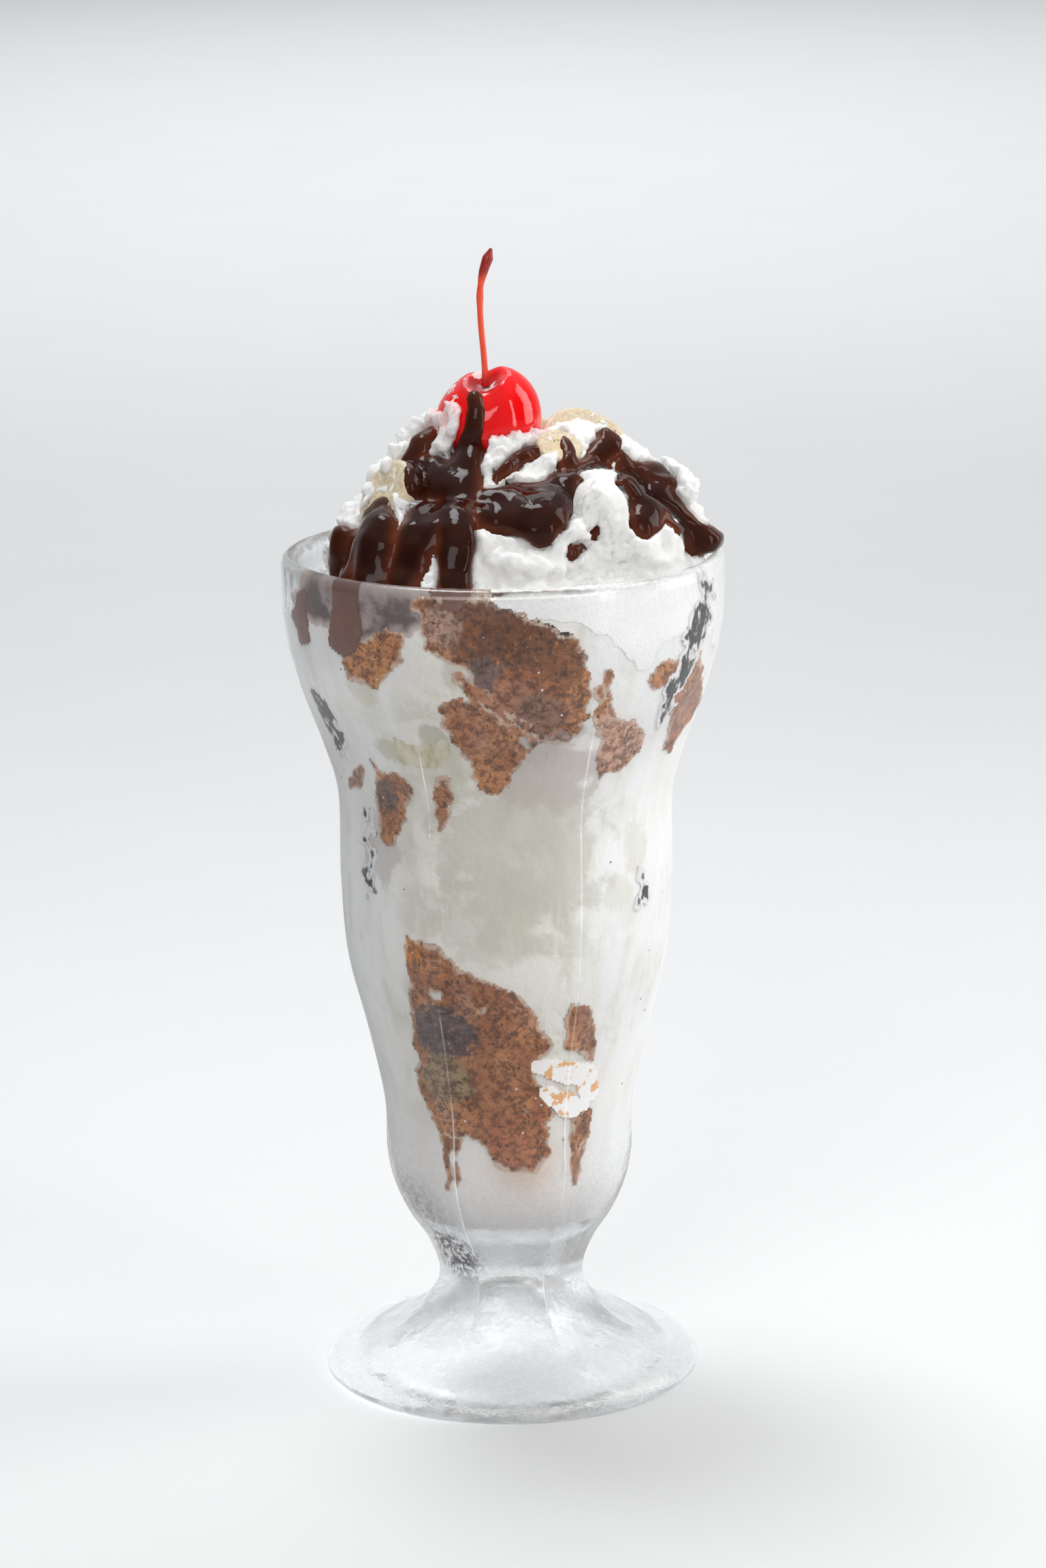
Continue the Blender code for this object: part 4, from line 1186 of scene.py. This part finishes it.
def sauce_on(mesh, tree):
    """For each vertex, how far inside the sauce it is and the sauce's height, in millimetres."""
    spots = coordinates(mesh)
    wander = np.array([noise.noise_vector(Vector(spot) / WANDER_SIZE) for spot in spots]) * WANDER
    best_inside = np.full(len(spots), NOT_COVERED)
    best_height = np.zeros(len(spots))
    for side, runs in FUDGE_RUNS.items():
        across, up = in_picture(spots + wander, side)
        inside, height = cover_of(across, up, runs)
        eye = Matrix.Rotation(side, 3, "Z") @ EYE
        if side:
            inside[spots[:, 1] < OTHER_SIDES] -= PUSHED_OUT
            height[spots[:, 1] < OTHER_SIDES] = 0.0
        for index in np.nonzero(inside > NEAR_A_RUN)[0]:
            way = Vector(spots[index]) - eye
            first = tree.ray_cast(eye, way.normalized())[3] or 0.0
            behind = (way.length - first) / MM
            seen = min(1.0, max(0.0, (BEHIND_NONE - behind) / (BEHIND_NONE - BEHIND_FULL)))
            inside[index] -= (1.0 - seen) * PUSHED_OUT
            height[index] *= seen
        best_height = np.maximum(best_height, height)
        best_inside = np.maximum(best_inside, inside)
    return best_inside, best_height


def evened(mesh, values, rounds):
    """Values per vertex, averaged with their neighbours."""
    ends = np.empty(len(mesh.edges) * 2, np.int32)
    mesh.edges.foreach_get("vertices", ends)
    first, second = ends[0::2], ends[1::2]
    count = np.maximum(np.bincount(ends, minlength=len(values)), 1)
    for _ in range(rounds):
        total = (np.bincount(first, values[second], len(values))
                 + np.bincount(second, values[first], len(values)))
        values = 0.5 * values + 0.5 * total / count
    return values


# %% [markdown]
# Skins of the heap
# Everything in the heap is melted together by a voxel remesh, which makes one closed skin, and
# smoothed. The cream gets a fine skin with its lumps. The sauce gets a smoother one without them,
# because it flows over what is small.

# %% Skins
CREAM_VOXEL = 0.56 * MM
SAUCE_VOXEL = 0.46 * MM


def skin_of(piece, name, voxel, rounds):
    made = copy_of(piece, name)
    apply(made, "REMESH", mode="VOXEL", voxel_size=voxel, adaptivity=0.0)
    apply(made, "SMOOTH", factor=0.5, iterations=rounds)
    return made


cream = skin_of(mound, "whipped_cream_heap", CREAM_VOXEL, 4)
sauce = skin_of(sauce_base, "hot_fudge", SAUCE_VOXEL, 16)
for built_on in (mound, sauce_base):
    bpy.data.objects.remove(built_on)
skin_tree = search_tree(cream.data)

# %% [markdown]
# Hot fudge
# The sauce is a sheet of its own. Only the faces under the runs are kept. They are raised by the
# sauce's height, pulled under the cream just outside the runs, which gives the sauce a thick round
# edge, and closed by a wall beneath.

# %% Fudge sheet
OUTSIDE_KEPT = 1.2
PULLED_UNDER = 1.2
SAUCE_SUNK = 1.1
SAUCE_WALL = 1.2 * MM
SAUCE_BOTTOM = 172.0 * MM
MOST_THICKNESS = 5.0
LEAST_SPLASH = 25
inside, height = sauce_on(sauce.data, skin_tree)
height = evened(sauce.data, height, 3)
lift = np.where(inside > 0.0, height, height + np.minimum(0.0, inside) * PULLED_UNDER) - SAUCE_SUNK
lift = evened(sauce.data, lift, 2)
normals = coordinates(sauce.data, "normal")
set_coordinates(sauce.data, coordinates(sauce.data) + normals * lift[:, None] * MM)
store(sauce.data, "thickness", np.clip(height, 0.0, MOST_THICKNESS))
kept = {face.index for face in sauce.data.polygons
        if min(inside[vertex] for vertex in face.vertices) > -OUTSIDE_KEPT
        and face.center.z > SAUCE_BOTTOM}
drop_faces(sauce, lambda face: face.index not in kept)
keep_islands(sauce, LEAST_SPLASH)
apply(sauce, "SMOOTH", factor=0.5, iterations=9)
apply(sauce, "SOLIDIFY", thickness=SAUCE_WALL, offset=-1.0)
shade(sauce)
sauce_tree = search_tree(sauce.data)
print("fudge faces:", len(sauce.data.polygons))

# %% [markdown]
# Texture of the cream
# Where sauce lies on the cream it is pressed in until it is under the sheet. Elsewhere it gets soft
# billows of two sizes and, in patches, a ragged foam. Below the rim it stays inside the wall.

# %% Cream texture
PRESSED_IN = 2.2
UNDER_SAUCE = 0.7 * MM
LOOK_FROM = 6.0 * MM
INSIDE_WALL = 0.15 * MM
BILLOW_SIZE = 5.0 * MM
SMALL_BILLOW_SIZE = 2.2 * MM
FOAM_SIZE = 1.35 * MM
FOAM_PATCHES = 12.0 * MM
MEAN_TEXTURE = 0.55


def step_between(values, low, high):
    share = np.clip((values - low) / (high - low), 0.0, 1.0)
    return share * share * (3.0 - 2.0 * share)


inside, _ = sauce_on(cream.data, skin_tree)
cover = evened(cream.data, step_between(inside, -0.7, 1.0), 2)
spots = coordinates(cream.data)
normals = coordinates(cream.data, "normal")
texture = np.empty(len(spots))
for index, spot in enumerate(spots):
    place = Vector(spot)
    billow = 1.0 - abs(noise.noise(place / BILLOW_SIZE)) * 2.2
    small_billow = 1.0 - abs(noise.noise(place / SMALL_BILLOW_SIZE + Vector((9, 2, 4)))) * 2.2
    foamy = min(1.0, max(0.15, noise.noise(place / FOAM_PATCHES + Vector((3, 8, 1))) * 1.6 + 0.45))
    foam = noise.fractal(place / FOAM_SIZE, 0.6, 2.0, 4)
    texture[index] = 0.60 * billow + 0.32 * small_billow + foamy * 0.74 * foam
push = (texture - MEAN_TEXTURE) * (1.0 - cover) - PRESSED_IN * cover
spots = spots + normals * push[:, None] * MM
for index in np.nonzero(inside > -0.2)[0]:
    spot, normal = Vector(spots[index]), Vector(normals[index])
    hit = sauce_tree.ray_cast(spot + normal * LOOK_FROM, -normal, 2.0 * LOOK_FROM)
    if hit[0] is not None:
        above = hit[3] - LOOK_FROM + UNDER_SAUCE
        if above > 0.0:
            spots[index] = spot - normal * above
for index, (x, y, z) in enumerate(spots):
    if z > RIM_TOP + 0.3 * MM:
        continue
    radius = hypot(x, y)
    wall = inner_radius(min(z, RIM_TOP - 2.0 * MM))
    if radius > wall - INSIDE_WALL:
        spots[index, :2] *= (wall - INSIDE_WALL) / radius
set_coordinates(cream.data, spots)
shade(cream)
print("cream faces:", len(cream.data.polygons))

# %% [markdown]
# Whipped cream's finish
# Cream is white and lets light sink in a little, so its shades are soft. Next to the cherry it is
# stained pink by the syrup.

# %% Cream finish
CHERRY_MIDDLE = (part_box("cherry")[0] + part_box("cherry")[1]) / 2
white_cream, nodes = new_finish("whipped cream", roughness=0.5, subsurface_weight=0.3,
                                subsurface_scale=0.002, subsurface_radius=NEUTRAL)
nodes.paint(nodes.noise(4.0, detail=4.0), (0.90, 0.89, 0.87), (0.96, 0.955, 0.945))
pink_patch = nodes.plus(nodes.near(CHERRY_MIDDLE / MM, 11.3, 14.5),
                        nodes.math("SUBTRACT", nodes.noise(3.0), 0.62))
nodes.tint(nodes.spread(pink_patch, 0.0, 0.9), (0.93, 0.38, 0.40), 0.50)
nodes.feed(normal=nodes.bump(nodes.noise(0.8, detail=5.0, rough=0.7), 0.34))
dress(cream, white_cream)
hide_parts("whipped_cream")

# %% [markdown]
# Fudge's finish
# Thick fudge is nearly black with a soft shine. Where it is thin, as at its edges, it is a warm
# brown, which is why its thickness was stored.

# %% Fudge finish
dark_fudge, nodes = new_finish("hot fudge", roughness=0.07, ior=1.27, specular_ior_level=0.4)
thin = nodes.spread(nodes.attribute("thickness"), 2.2, 0.6)
nodes.paint(thin, (0.024, 0.0060, 0.0035), (0.115, 0.026, 0.010))
nodes.tint(nodes.spread(nodes.noise(7.0), 0.45, 0.7), (0.050, 0.013, 0.007), 0.5)
nodes.feed(normal=nodes.bump(nodes.noise(5.0, detail=2.0), 0.25))
settle(sauce, "hot_fudge")
dress(sauce, dark_fudge)

# %% [markdown]
# Cherry
# A candied cherry is a ball with a dimple round its stem and a shallow furrow that makes two low
# shoulders. It starts from a sphere whose vertices are pulled to that form, tilted towards the
# viewer as the CAD cherry is.

# %% Cherry
CHERRY_RADIUS = 11.3 * MM
CHERRY_CENTRE = Vector((-2.5, -2.0, 214.2)) * MM
CHERRY_TILT = radians(20.0)
CHERRY_LEFT = radians(-6.0)
CHERRY_SQUASH = 0.94
DIMPLE_DEPTH = 3.6 * MM
DIMPLE_RADIUS = 5.5 * MM
FURROW_DEPTH = 1.5 * MM
FURROW_WIDTH = 4.0 * MM
SHOULDER_RISE = 1.6 * MM
NARROWER_BELOW = 0.05
DENTS = 0.25 * MM
DENT_SIZE = 7.0 * MM

cherry = started(bpy.ops.mesh.primitive_uv_sphere_add, segments=96, ring_count=64, radius=CHERRY_RADIUS)
for vertex in cherry.data.vertices:
    x, y, z = vertex.co
    if z > 0.0:
        sink = max(0.0, 1.0 - (hypot(x, y) / DIMPLE_RADIUS) ** 2) ** 2
        furrow = max(0.0, 1.0 - (x / FURROW_WIDTH) ** 2) ** 2 * (z / CHERRY_RADIUS) ** 2
        shoulder = SHOULDER_RISE * (x / CHERRY_RADIUS) * (z / CHERRY_RADIUS)
        vertex.co.z = (z - sink * DIMPLE_DEPTH - furrow * FURROW_DEPTH * (1.0 - sink)) * CHERRY_SQUASH
        vertex.co.z += shoulder * (1.0 - sink)
    else:
        vertex.co.x *= 1.0 - NARROWER_BELOW * (z / CHERRY_RADIUS) ** 2
        vertex.co.y *= 1.0 - NARROWER_BELOW * (z / CHERRY_RADIUS) ** 2
    vertex.co += vertex.co.normalized() * noise.noise(Vector((x, y, z)) / DENT_SIZE) * DENTS
cherry.matrix_world = (Matrix.Translation(CHERRY_CENTRE) @ Matrix.Rotation(CHERRY_LEFT, 4, "Y")
                       @ Matrix.Rotation(CHERRY_TILT, 4, "X"))
settle(cherry, "candied_cherry")
shade(cherry)

# %% [markdown]
# Candied red
# Light sinks deep into a candied cherry and comes out red. Its skin is glossy, and the dimple round
# the stem is darkened with painted shade.

# %% Cherry finish
red_flesh, nodes = new_finish("candied cherry", roughness=0.07, subsurface_weight=0.35,
                              subsurface_scale=0.004, subsurface_radius=(1.0, 0.12, 0.10),
                              specular_ior_level=0.45)
nodes.paint(nodes.noise(6.0), (0.80, 0.0, 0.002), (0.92, 0.002, 0.004))
# Painted shade: the dimple round the stem is darkened
nodes.tint(nodes.near((-4.4, -5.6, 222.5), 1.5, 6.0), (0.33, 0.0, 0.004))
nodes.feed(normal=nodes.bump(nodes.noise(3.5, detail=2.0), 0.12))
dress(cherry, red_flesh)
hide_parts("cherry")

# %% [markdown]
# The cherry's stem
# The stem is a thin stalk with a darker knob where it was picked. It follows the middle line of the
# CAD stem, found by averaging its vertices in slices, as a bevelled curve with a radius for each
# point, which is then made a mesh.

# %% Stem
STEM_SLICES = 22
STEM_RADIUS = 0.68 * MM
STEM_BOW = 0.5 * MM
TIP_RADIUS = 0.45


def middle_line(node_name, slices):
    """Middles of an upright thin CAD node, slice by slice from below."""
    low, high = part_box(node_name)
    places = coordinates(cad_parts[node_name].data)
    line = []
    for index in range(slices):
        bottom = low.z + (high.z - low.z) * index / slices
        top = low.z + (high.z - low.z) * (index + 1) / slices
        chosen = places[(places[:, 2] >= bottom) & (places[:, 2] <= top)]
        if len(chosen):
            line.append(Vector((chosen.min(0) + chosen.max(0)) / 2))
    return line


line = middle_line("cherry_stem", STEM_SLICES)
stem = started(bpy.ops.curve.primitive_bezier_curve_add)
stem.data.splines.clear()
spline = stem.data.splines.new("BEZIER")
spline.bezier_points.add(len(line) - 1)
for index, (point, spot) in enumerate(zip(spline.bezier_points, line)):
    along = index / (len(line) - 1)
    knob = max(0.0, 1.0 - abs(along - 0.90) / 0.11)
    swelling = max(0.0, 1.0 - abs(along - 0.66) / 0.05) * 0.22
    point.co = spot + Vector((STEM_BOW * sin(pi * min(1.0, along / 0.85)), 0.0, 0.0))
    point.radius = 0.95 + 0.85 * knob ** 0.6 + swelling + max(0.0, 0.12 - along) * 5.0
    point.handle_left_type = point.handle_right_type = "AUTO"
spline.bezier_points[-1].radius = TIP_RADIUS
stem.data.dimensions = "3D"
stem.data.bevel_depth = STEM_RADIUS
stem.data.bevel_resolution = 5
stem.data.resolution_u = 5
stem.data.use_fill_caps = True
focus(stem)
bpy.ops.object.convert(target="MESH")
edit(stem)
merge_seams()
bpy.ops.mesh.normals_make_consistent(inside=False)
done()
settle(stem, "stem")
shade(stem, 50.0)

# %% [markdown]
# Dyed stem
# The syrup has dyed the stem. It is an orange red with fine fibres along it, deeper red where it
# enters the cherry and brown at the knob.

# %% Stem finish
stalk, nodes = new_finish("dyed stem", roughness=0.3, subsurface_weight=0.2, subsurface_scale=0.001)
height = nodes.axis(2)
fibres = nodes.noise(0.7, detail=4.0, upright=0.15)
nodes.paint(fibres, (0.78, 0.045, 0.010), (0.92, 0.13, 0.05))
nodes.tint(nodes.spread(height, 0.2435, 0.2465), (0.32, 0.018, 0.012))
nodes.tint(nodes.spread(height, 0.226, 0.221), (0.50, 0.005, 0.008))
nodes.feed(normal=nodes.bump(fibres, 0.08))
dress(stem, stalk)
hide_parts("cherry_stem")

# %% [markdown]
# Slices of banana
# A slice is a short cylinder with a soft cut edge. Its face is slightly hollow round the seeds and
# rough from the knife. The CAD slice gives its middle and the way it faces: the thinnest direction
# of its vertices. The pattern of seeds belongs to the slice, so it is stored as an attribute in the
# slice's own directions before the slice is put in its place.

# %% Banana slices
FACE_RINGS = 7
RING_SHARE = 0.125
SOFT_EDGE = 1.0 * MM
KNIFE_MARKS = 0.16 * MM
KNIFE_MARK_SIZE = 2.2 * MM
HOLLOW = 0.35 * MM
HOLLOW_SHARE = 0.45


def slice_place(node_name):
    """Middle, facing direction, radius and thickness of a CAD slice."""
    places = coordinates(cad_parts[node_name].data)
    corners = np.unique(np.round(places, 6), axis=0)
    middle = (corners.max(0) + corners.min(0)) / 2
    _, _, ways = np.linalg.svd(corners - corners.mean(0), full_matrices=False)
    facing = Vector(ways[2])
    if facing.z < 0.0:
        facing.negate()
    along = (corners - middle) @ np.array(facing)
    flat = (corners - middle) - along[:, None] * np.array(facing)
    return Vector(middle), facing, np.linalg.norm(flat, axis=1).max(), along.max() - along.min()


def banana_slice(node_name, seed):
    middle, facing, radius, thickness = slice_place(node_name)
    piece = started(bpy.ops.mesh.primitive_cylinder_add, vertices=40, radius=radius, depth=thickness)
    edit(piece)
    select_faces(piece, lambda face: abs(face.calc_center_median().z) > thickness * 0.49)
    for _ in range(FACE_RINGS):
        bpy.ops.mesh.inset(thickness=radius * RING_SHARE)
    merge_seams()
    done()
    apply(piece, "BEVEL", width=min(SOFT_EDGE, thickness * 0.2), segments=3, limit_method="ANGLE",
          angle_limit=radians(60.0))
    apply(piece, "SUBSURF", levels=1, render_levels=1)
    stored = piece.data.attributes.new("in_slice", "FLOAT_VECTOR", "POINT")
    stored.data.foreach_set("vector", (coordinates(piece.data) / MM).ravel())
    for vertex in piece.data.vertices:
        out = hypot(vertex.co.x, vertex.co.y) / radius
        turn = atan2(vertex.co.y, vertex.co.x)
        marks = noise.fractal(vertex.co / KNIFE_MARK_SIZE + Vector((seed, seed, 0)), 0.8, 2.0, 3)
        lobes = 1.0 + 0.018 * cos(3.0 * turn + seed) + 0.012 * sin(5.0 * turn + seed)
        vertex.co.x *= lobes
        vertex.co.y *= lobes
        side = 1.0 if vertex.co.z > 0.0 else -1.0
        sink = HOLLOW * max(0.0, 1.0 - (out / HOLLOW_SHARE) ** 2)
        vertex.co.z += side * (marks * KNIFE_MARKS - sink)
    turn = facing.to_track_quat("Z", "Y").to_matrix().to_4x4()
    piece.matrix_world = Matrix.Translation(middle) @ turn
    settle(piece, node_name + "_shown")
    shade(piece)
    return piece


# %% [markdown]
# Banana's finish
# Fresh banana is a pale, slightly translucent yellow with a darker core and a ring of small seeds.
# A little syrup and fudge has stained it.

# %% Banana finish
fruit, nodes = new_finish("banana", roughness=0.28, subsurface_weight=0.15, subsurface_scale=0.002,
                          subsurface_radius=NEUTRAL)
in_slice = nodes.attribute("in_slice", "Vector")
level = nodes.add("VectorMath", {0: in_slice, 1: (1.0, 1.0, 0.0)}, operation="MULTIPLY").outputs[0]
out = nodes.add("VectorMath", {0: level}, operation="LENGTH").outputs["Value"]
speckle = nodes.add("TexNoise", {"Vector": in_slice, "Scale": 1.1, "Detail": 6.0}).outputs[0]
nodes.paint(nodes.spread(speckle, 0.35, 0.65), (0.60, 0.49, 0.33), (0.72, 0.63, 0.47))
nodes.tint(nodes.spread(out, 3.4, 1.6), (0.74, 0.60, 0.33), 0.5)
seeds = nodes.add("TexVoronoi", {"Vector": in_slice, "Scale": 0.75}).outputs[0]
seeds = nodes.times(nodes.spread(seeds, 0.22, 0.10), nodes.spread(out, 2.8, 2.0))
nodes.tint(seeds, (0.22, 0.12, 0.05))
nodes.tint(nodes.spread(nodes.noise(5.0), 0.55, 0.68), (0.62, 0.36, 0.20), 0.25)
pulp = nodes.add("TexNoise", {"Vector": in_slice, "Scale": 1.6, "Detail": 5.0}).outputs[0]
nodes.feed(normal=nodes.bump(pulp, 0.2))
slice_names = sorted(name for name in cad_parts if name.startswith("banana_slice"))
for seed, name in enumerate(slice_names):
    piece = banana_slice(name, seed)
    dress(piece, fruit)
    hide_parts(name)
print("banana slices:", len(slice_names))

# %% [markdown]
# Fudge on the wall
# Some fudge has run down inside the glass, where it makes flat, reddish drips and a cloudy mauve
# layer with the melting ice cream. They are wall sheets like the cookie pieces, cut by runs in the
# picture.

# %% Smears
FRONT = (radians(-165.0), radians(-15.0))
SMEAR_WALL = 0.6 * MM


def smear(name, runs, lift, tear):
    """A thin sheet on the front of the wall, kept where it shows inside the runs."""
    ups = [spot[1] for run in runs for spot in run]
    heights = ((min(ups) - 4.0) * MM, min((max(ups) + 22.0) * MM, RIM_TOP - 1.5 * MM))
    piece = wall_sheet(name, FRONT, heights, lift)
    moved = np.array([shaken(face.center, len(name), tear, TEAR_SIZE) for face in piece.data.polygons])
    inside, _ = cover_of(*in_picture(moved, 0.0), runs)
    drop_faces(piece, lambda face: inside[face.index] < 0.0)
    keep_islands(piece, LEAST_FLAKE)
    note_edge_distance(piece)
    apply(piece, "SOLIDIFY", thickness=SMEAR_WALL, offset=-1.0)
    settle(piece, name)
    print(name, "faces:", len(piece.data.polygons))
    return piece


DRIPS = [
    [(-32.7, 181.0, 2.6), (-33.2, 173.8, 2.4), (-33.2, 167.5, 3.2), (-33.3, 165.5, 3.0)],
    [(-41.6, 176.0, 0.8), (-42.0, 171.0, 1.3), (-41.0, 166.0, 0.8)],
    [(-14.1, 177.0, 2.6), (-9.0, 176.4, 2.6), (-10.6, 174.0, 2.4)],
]
drips = smear("fudge_drips_on_wall", DRIPS, 0.74 * MM, 0.4)
thin_fudge, nodes = new_finish("thin fudge", roughness=0.3)
nodes.paint(nodes.noise(5.0), (0.10, 0.030, 0.018), (0.19, 0.075, 0.055))
nodes.feed()
dress(drips, thin_fudge)

# %% [markdown]
# Granular streaks
# At both sides thin lines of fudge have dried to dark grains on the cold wall. Between the grains
# and at the edges the pale ice cream shows.

# %% Granular streaks
STREAKS = [
    [(42.2, 177.5, 1.0), (41.2, 170.3, 2.0), (39.0, 165.2, 1.8), (36.8, 159.5, 1.5),
     (34.8, 153.7, 1.5), (32.8, 146.9, 0.9)],
    [(-39.4, 155.4, 1.0), (-37.4, 150.0, 1.5), (-35.6, 145.0, 1.5), (-34.7, 140.5, 0.9)],
    [(-29.0, 127.0, 0.8), (-29.0, 119.0, 1.1), (-28.4, 109.0, 0.7)],
    [(28.3, 113.5, 0.7), (29.0, 109.5, 1.0), (27.9, 104.8, 0.6)],
]
streaks = smear("fudge_streaks_on_wall", STREAKS, 0.66 * MM, 1.8)
gritty, nodes = new_finish("gritty fudge", roughness=0.45)
grit = nodes.noise(2.0, detail=7.0, rough=0.75, upright=0.5)
fading = nodes.math("SUBTRACT", grit, nodes.spread(nodes.attribute("from_edge"), 0.2, 1.4, 0.0, 0.16))
nodes.paint(nodes.spread(fading, 0.36, 0.46), (0.012, 0.008, 0.011), (0.72, 0.71, 0.72))
nodes.feed()
dress(streaks, gritty)

# %% [markdown]
# The cloudy layer
# Below the rim at the left, fudge and melted ice cream have mixed to a mauve cloud. It is palest at
# its edge, where there is least fudge in it.

# %% Cloudy layer
CLOUDS = [
    [(-39.0, 176.0, 3.6), (-30.0, 174.5, 5.5), (-21.0, 173.5, 6.0), (-16.5, 173.5, 4.5)],
    [(-37.5, 172.0, 3.0), (-29.0, 169.0, 4.0), (-20.0, 168.5, 2.5)],
]
clouds = smear("cloudy_fudge_layer", CLOUDS, 0.26 * MM, 1.6)
mauve, nodes = new_finish("cloudy fudge", roughness=0.5)
nodes.paint(nodes.spread(nodes.noise(6.0, detail=4.0), 0.40, 0.62), (0.10, 0.065, 0.062),
            (0.34, 0.27, 0.27))
nodes.tint(nodes.spread(nodes.attribute("from_edge"), 2.2, 0.0), (0.50, 0.42, 0.39))
nodes.feed()
dress(clouds, mauve)

# %% [markdown]
# Cream against the wall
# The upper edge of the ice cream is ragged, and white cream is spread on the wall above it and dips
# down at the right. Two sheets run round the whole glass. In front the cream's sheet follows the
# picture. Round the back both keep to the heap: they end where the gap to it grows wide.

# %% Cream against the wall
CREAM_DIPS = [
    [(-2.0, 178.0, 5.0), (8.0, 175.5, 6.0), (18.0, 175.0, 6.5), (28.0, 171.0, 7.5), (38.0, 174.0, 8.0)],
    [(28.0, 170.0, 5.0), (28.4, 163.8, 3.6), (29.0, 159.5, 1.8)],
]
CREAM_REACH = 3.0 * MM
NO_HEAP = 1.0
SHEET_BOTTOM = 158.0 * MM
UPPER_EDGE = RIM_TOP - 2.6 * MM
LOWER_EDGE = 167.0 * MM
ICE_BOTTOM = 165.0 * MM
SHEET_WALL = 0.5 * MM


def sheet_against_wall(name, lift, keep):
    """A sheet round the glass, of the faces that pass a test of centre, gap to the heap and dips."""
    piece = wall_sheet(name, (-pi, pi), (SHEET_BOTTOM, UPPER_EDGE), lift)
    moved = np.array([shaken(face.center, 3, 1.6, TEAR_SIZE) for face in piece.data.polygons])
    in_dips, _ = cover_of(*in_picture(moved, 0.0), CREAM_DIPS)
    dropped = []
    for face in piece.data.polygons:
        out = Vector((face.center.x, face.center.y, 0.0)).normalized()
        hit = heap_tree.ray_cast(face.center, -out)
        gap = hit[3] if hit[0] is not None else NO_HEAP
        ragged = noise.fractal(face.center / (9.0 * MM), 0.8, 2.0, 5) * 2.2 * MM
        dropped.append(not keep(face.center, gap, ragged, in_dips[face.index]))
    drop_faces(piece, lambda face: dropped[face.index])
    keep_islands(piece, LEAST_FLAKE)
    apply(piece, "SOLIDIFY", thickness=SHEET_WALL, offset=-1.0)
    return settle(piece, name)


def is_cream(centre, gap, ragged, in_dip):
    if FRONT[0] < atan2(centre.y, centre.x) < FRONT[1]:
        return in_dip > 0.0
    beside = centre.z < 173.0 * MM or gap < CREAM_REACH
    return beside and centre.z > LOWER_EDGE + ragged


def is_ice_cream(centre, gap, ragged, in_dip):
    beside = centre.z < 174.5 * MM + ragged or gap < CREAM_REACH
    return beside and centre.z > ICE_BOTTOM


heap_tree = search_tree(cream.data)
ice_edge = sheet_against_wall("ice_cream_edge", 0.14 * MM, is_ice_cream)
dress(ice_edge, vanilla)
wall_cream = sheet_against_wall("whipped_cream_on_wall", 0.30 * MM, is_cream)
dress(wall_cream, white_cream)
print("sheets round the wall:", len(ice_edge.data.polygons), len(wall_cream.data.polygons))

# %% [markdown]
# Crumbs on the wall
# Loose crumbs and legs of cookie are smeared on the wall between and below the larger pieces.

# %% Crumbs on the wall
CRUMBS = [
    [(-12.4, 60.0, 2.0), (-12.2, 54.0, 1.5), (-11.9, 48.0, 1.1), (-11.4, 42.0, 0.5)],
    [(14.4, 58.5, 2.3), (13.6, 51.3, 1.9), (12.4, 43.6, 0.8)],
    [(21.6, 158.0, 0.7), (21.2, 152.0, 1.2), (21.6, 147.0, 2.0)],
    [(-31.3, 137.0, 0.8), (-31.7, 134.0, 1.0)],
    [(-10.0, 157.4, 1.5), (-6.0, 153.8, 1.8), (-1.0, 149.6, 2.0), (4.0, 145.8, 1.8), (6.5, 143.4, 1.2)],
]
crumbs = smear("cookie_crumbs_on_wall", CRUMBS, 0.32 * MM, 1.0)
dress(crumbs, crumb)

# %% [markdown]
# Melted smear
# Beside the large low piece of cookie there is a white smear of melted ice cream, with a few orange
# marks of crumb in it.

# %% Melted smear
MELT = [
    [(6.0, 69.5, 1.2), (9.6, 69.0, 2.4), (15.5, 67.5, 2.6), (16.5, 63.5, 2.2)],
    [(8.5, 63.5, 2.0), (12.5, 60.5, 2.6), (15.0, 60.5, 1.6)],
]
melt = smear("melted_smear_on_wall", MELT, 0.70 * MM, 0.6)
milky, nodes = new_finish("melted ice cream", roughness=0.35)
nodes.paint(nodes.spread(nodes.noise(3.4), 0.54, 0.60), (0.88, 0.87, 0.87), (0.74, 0.40, 0.16))
nodes.feed()
dress(melt, milky)
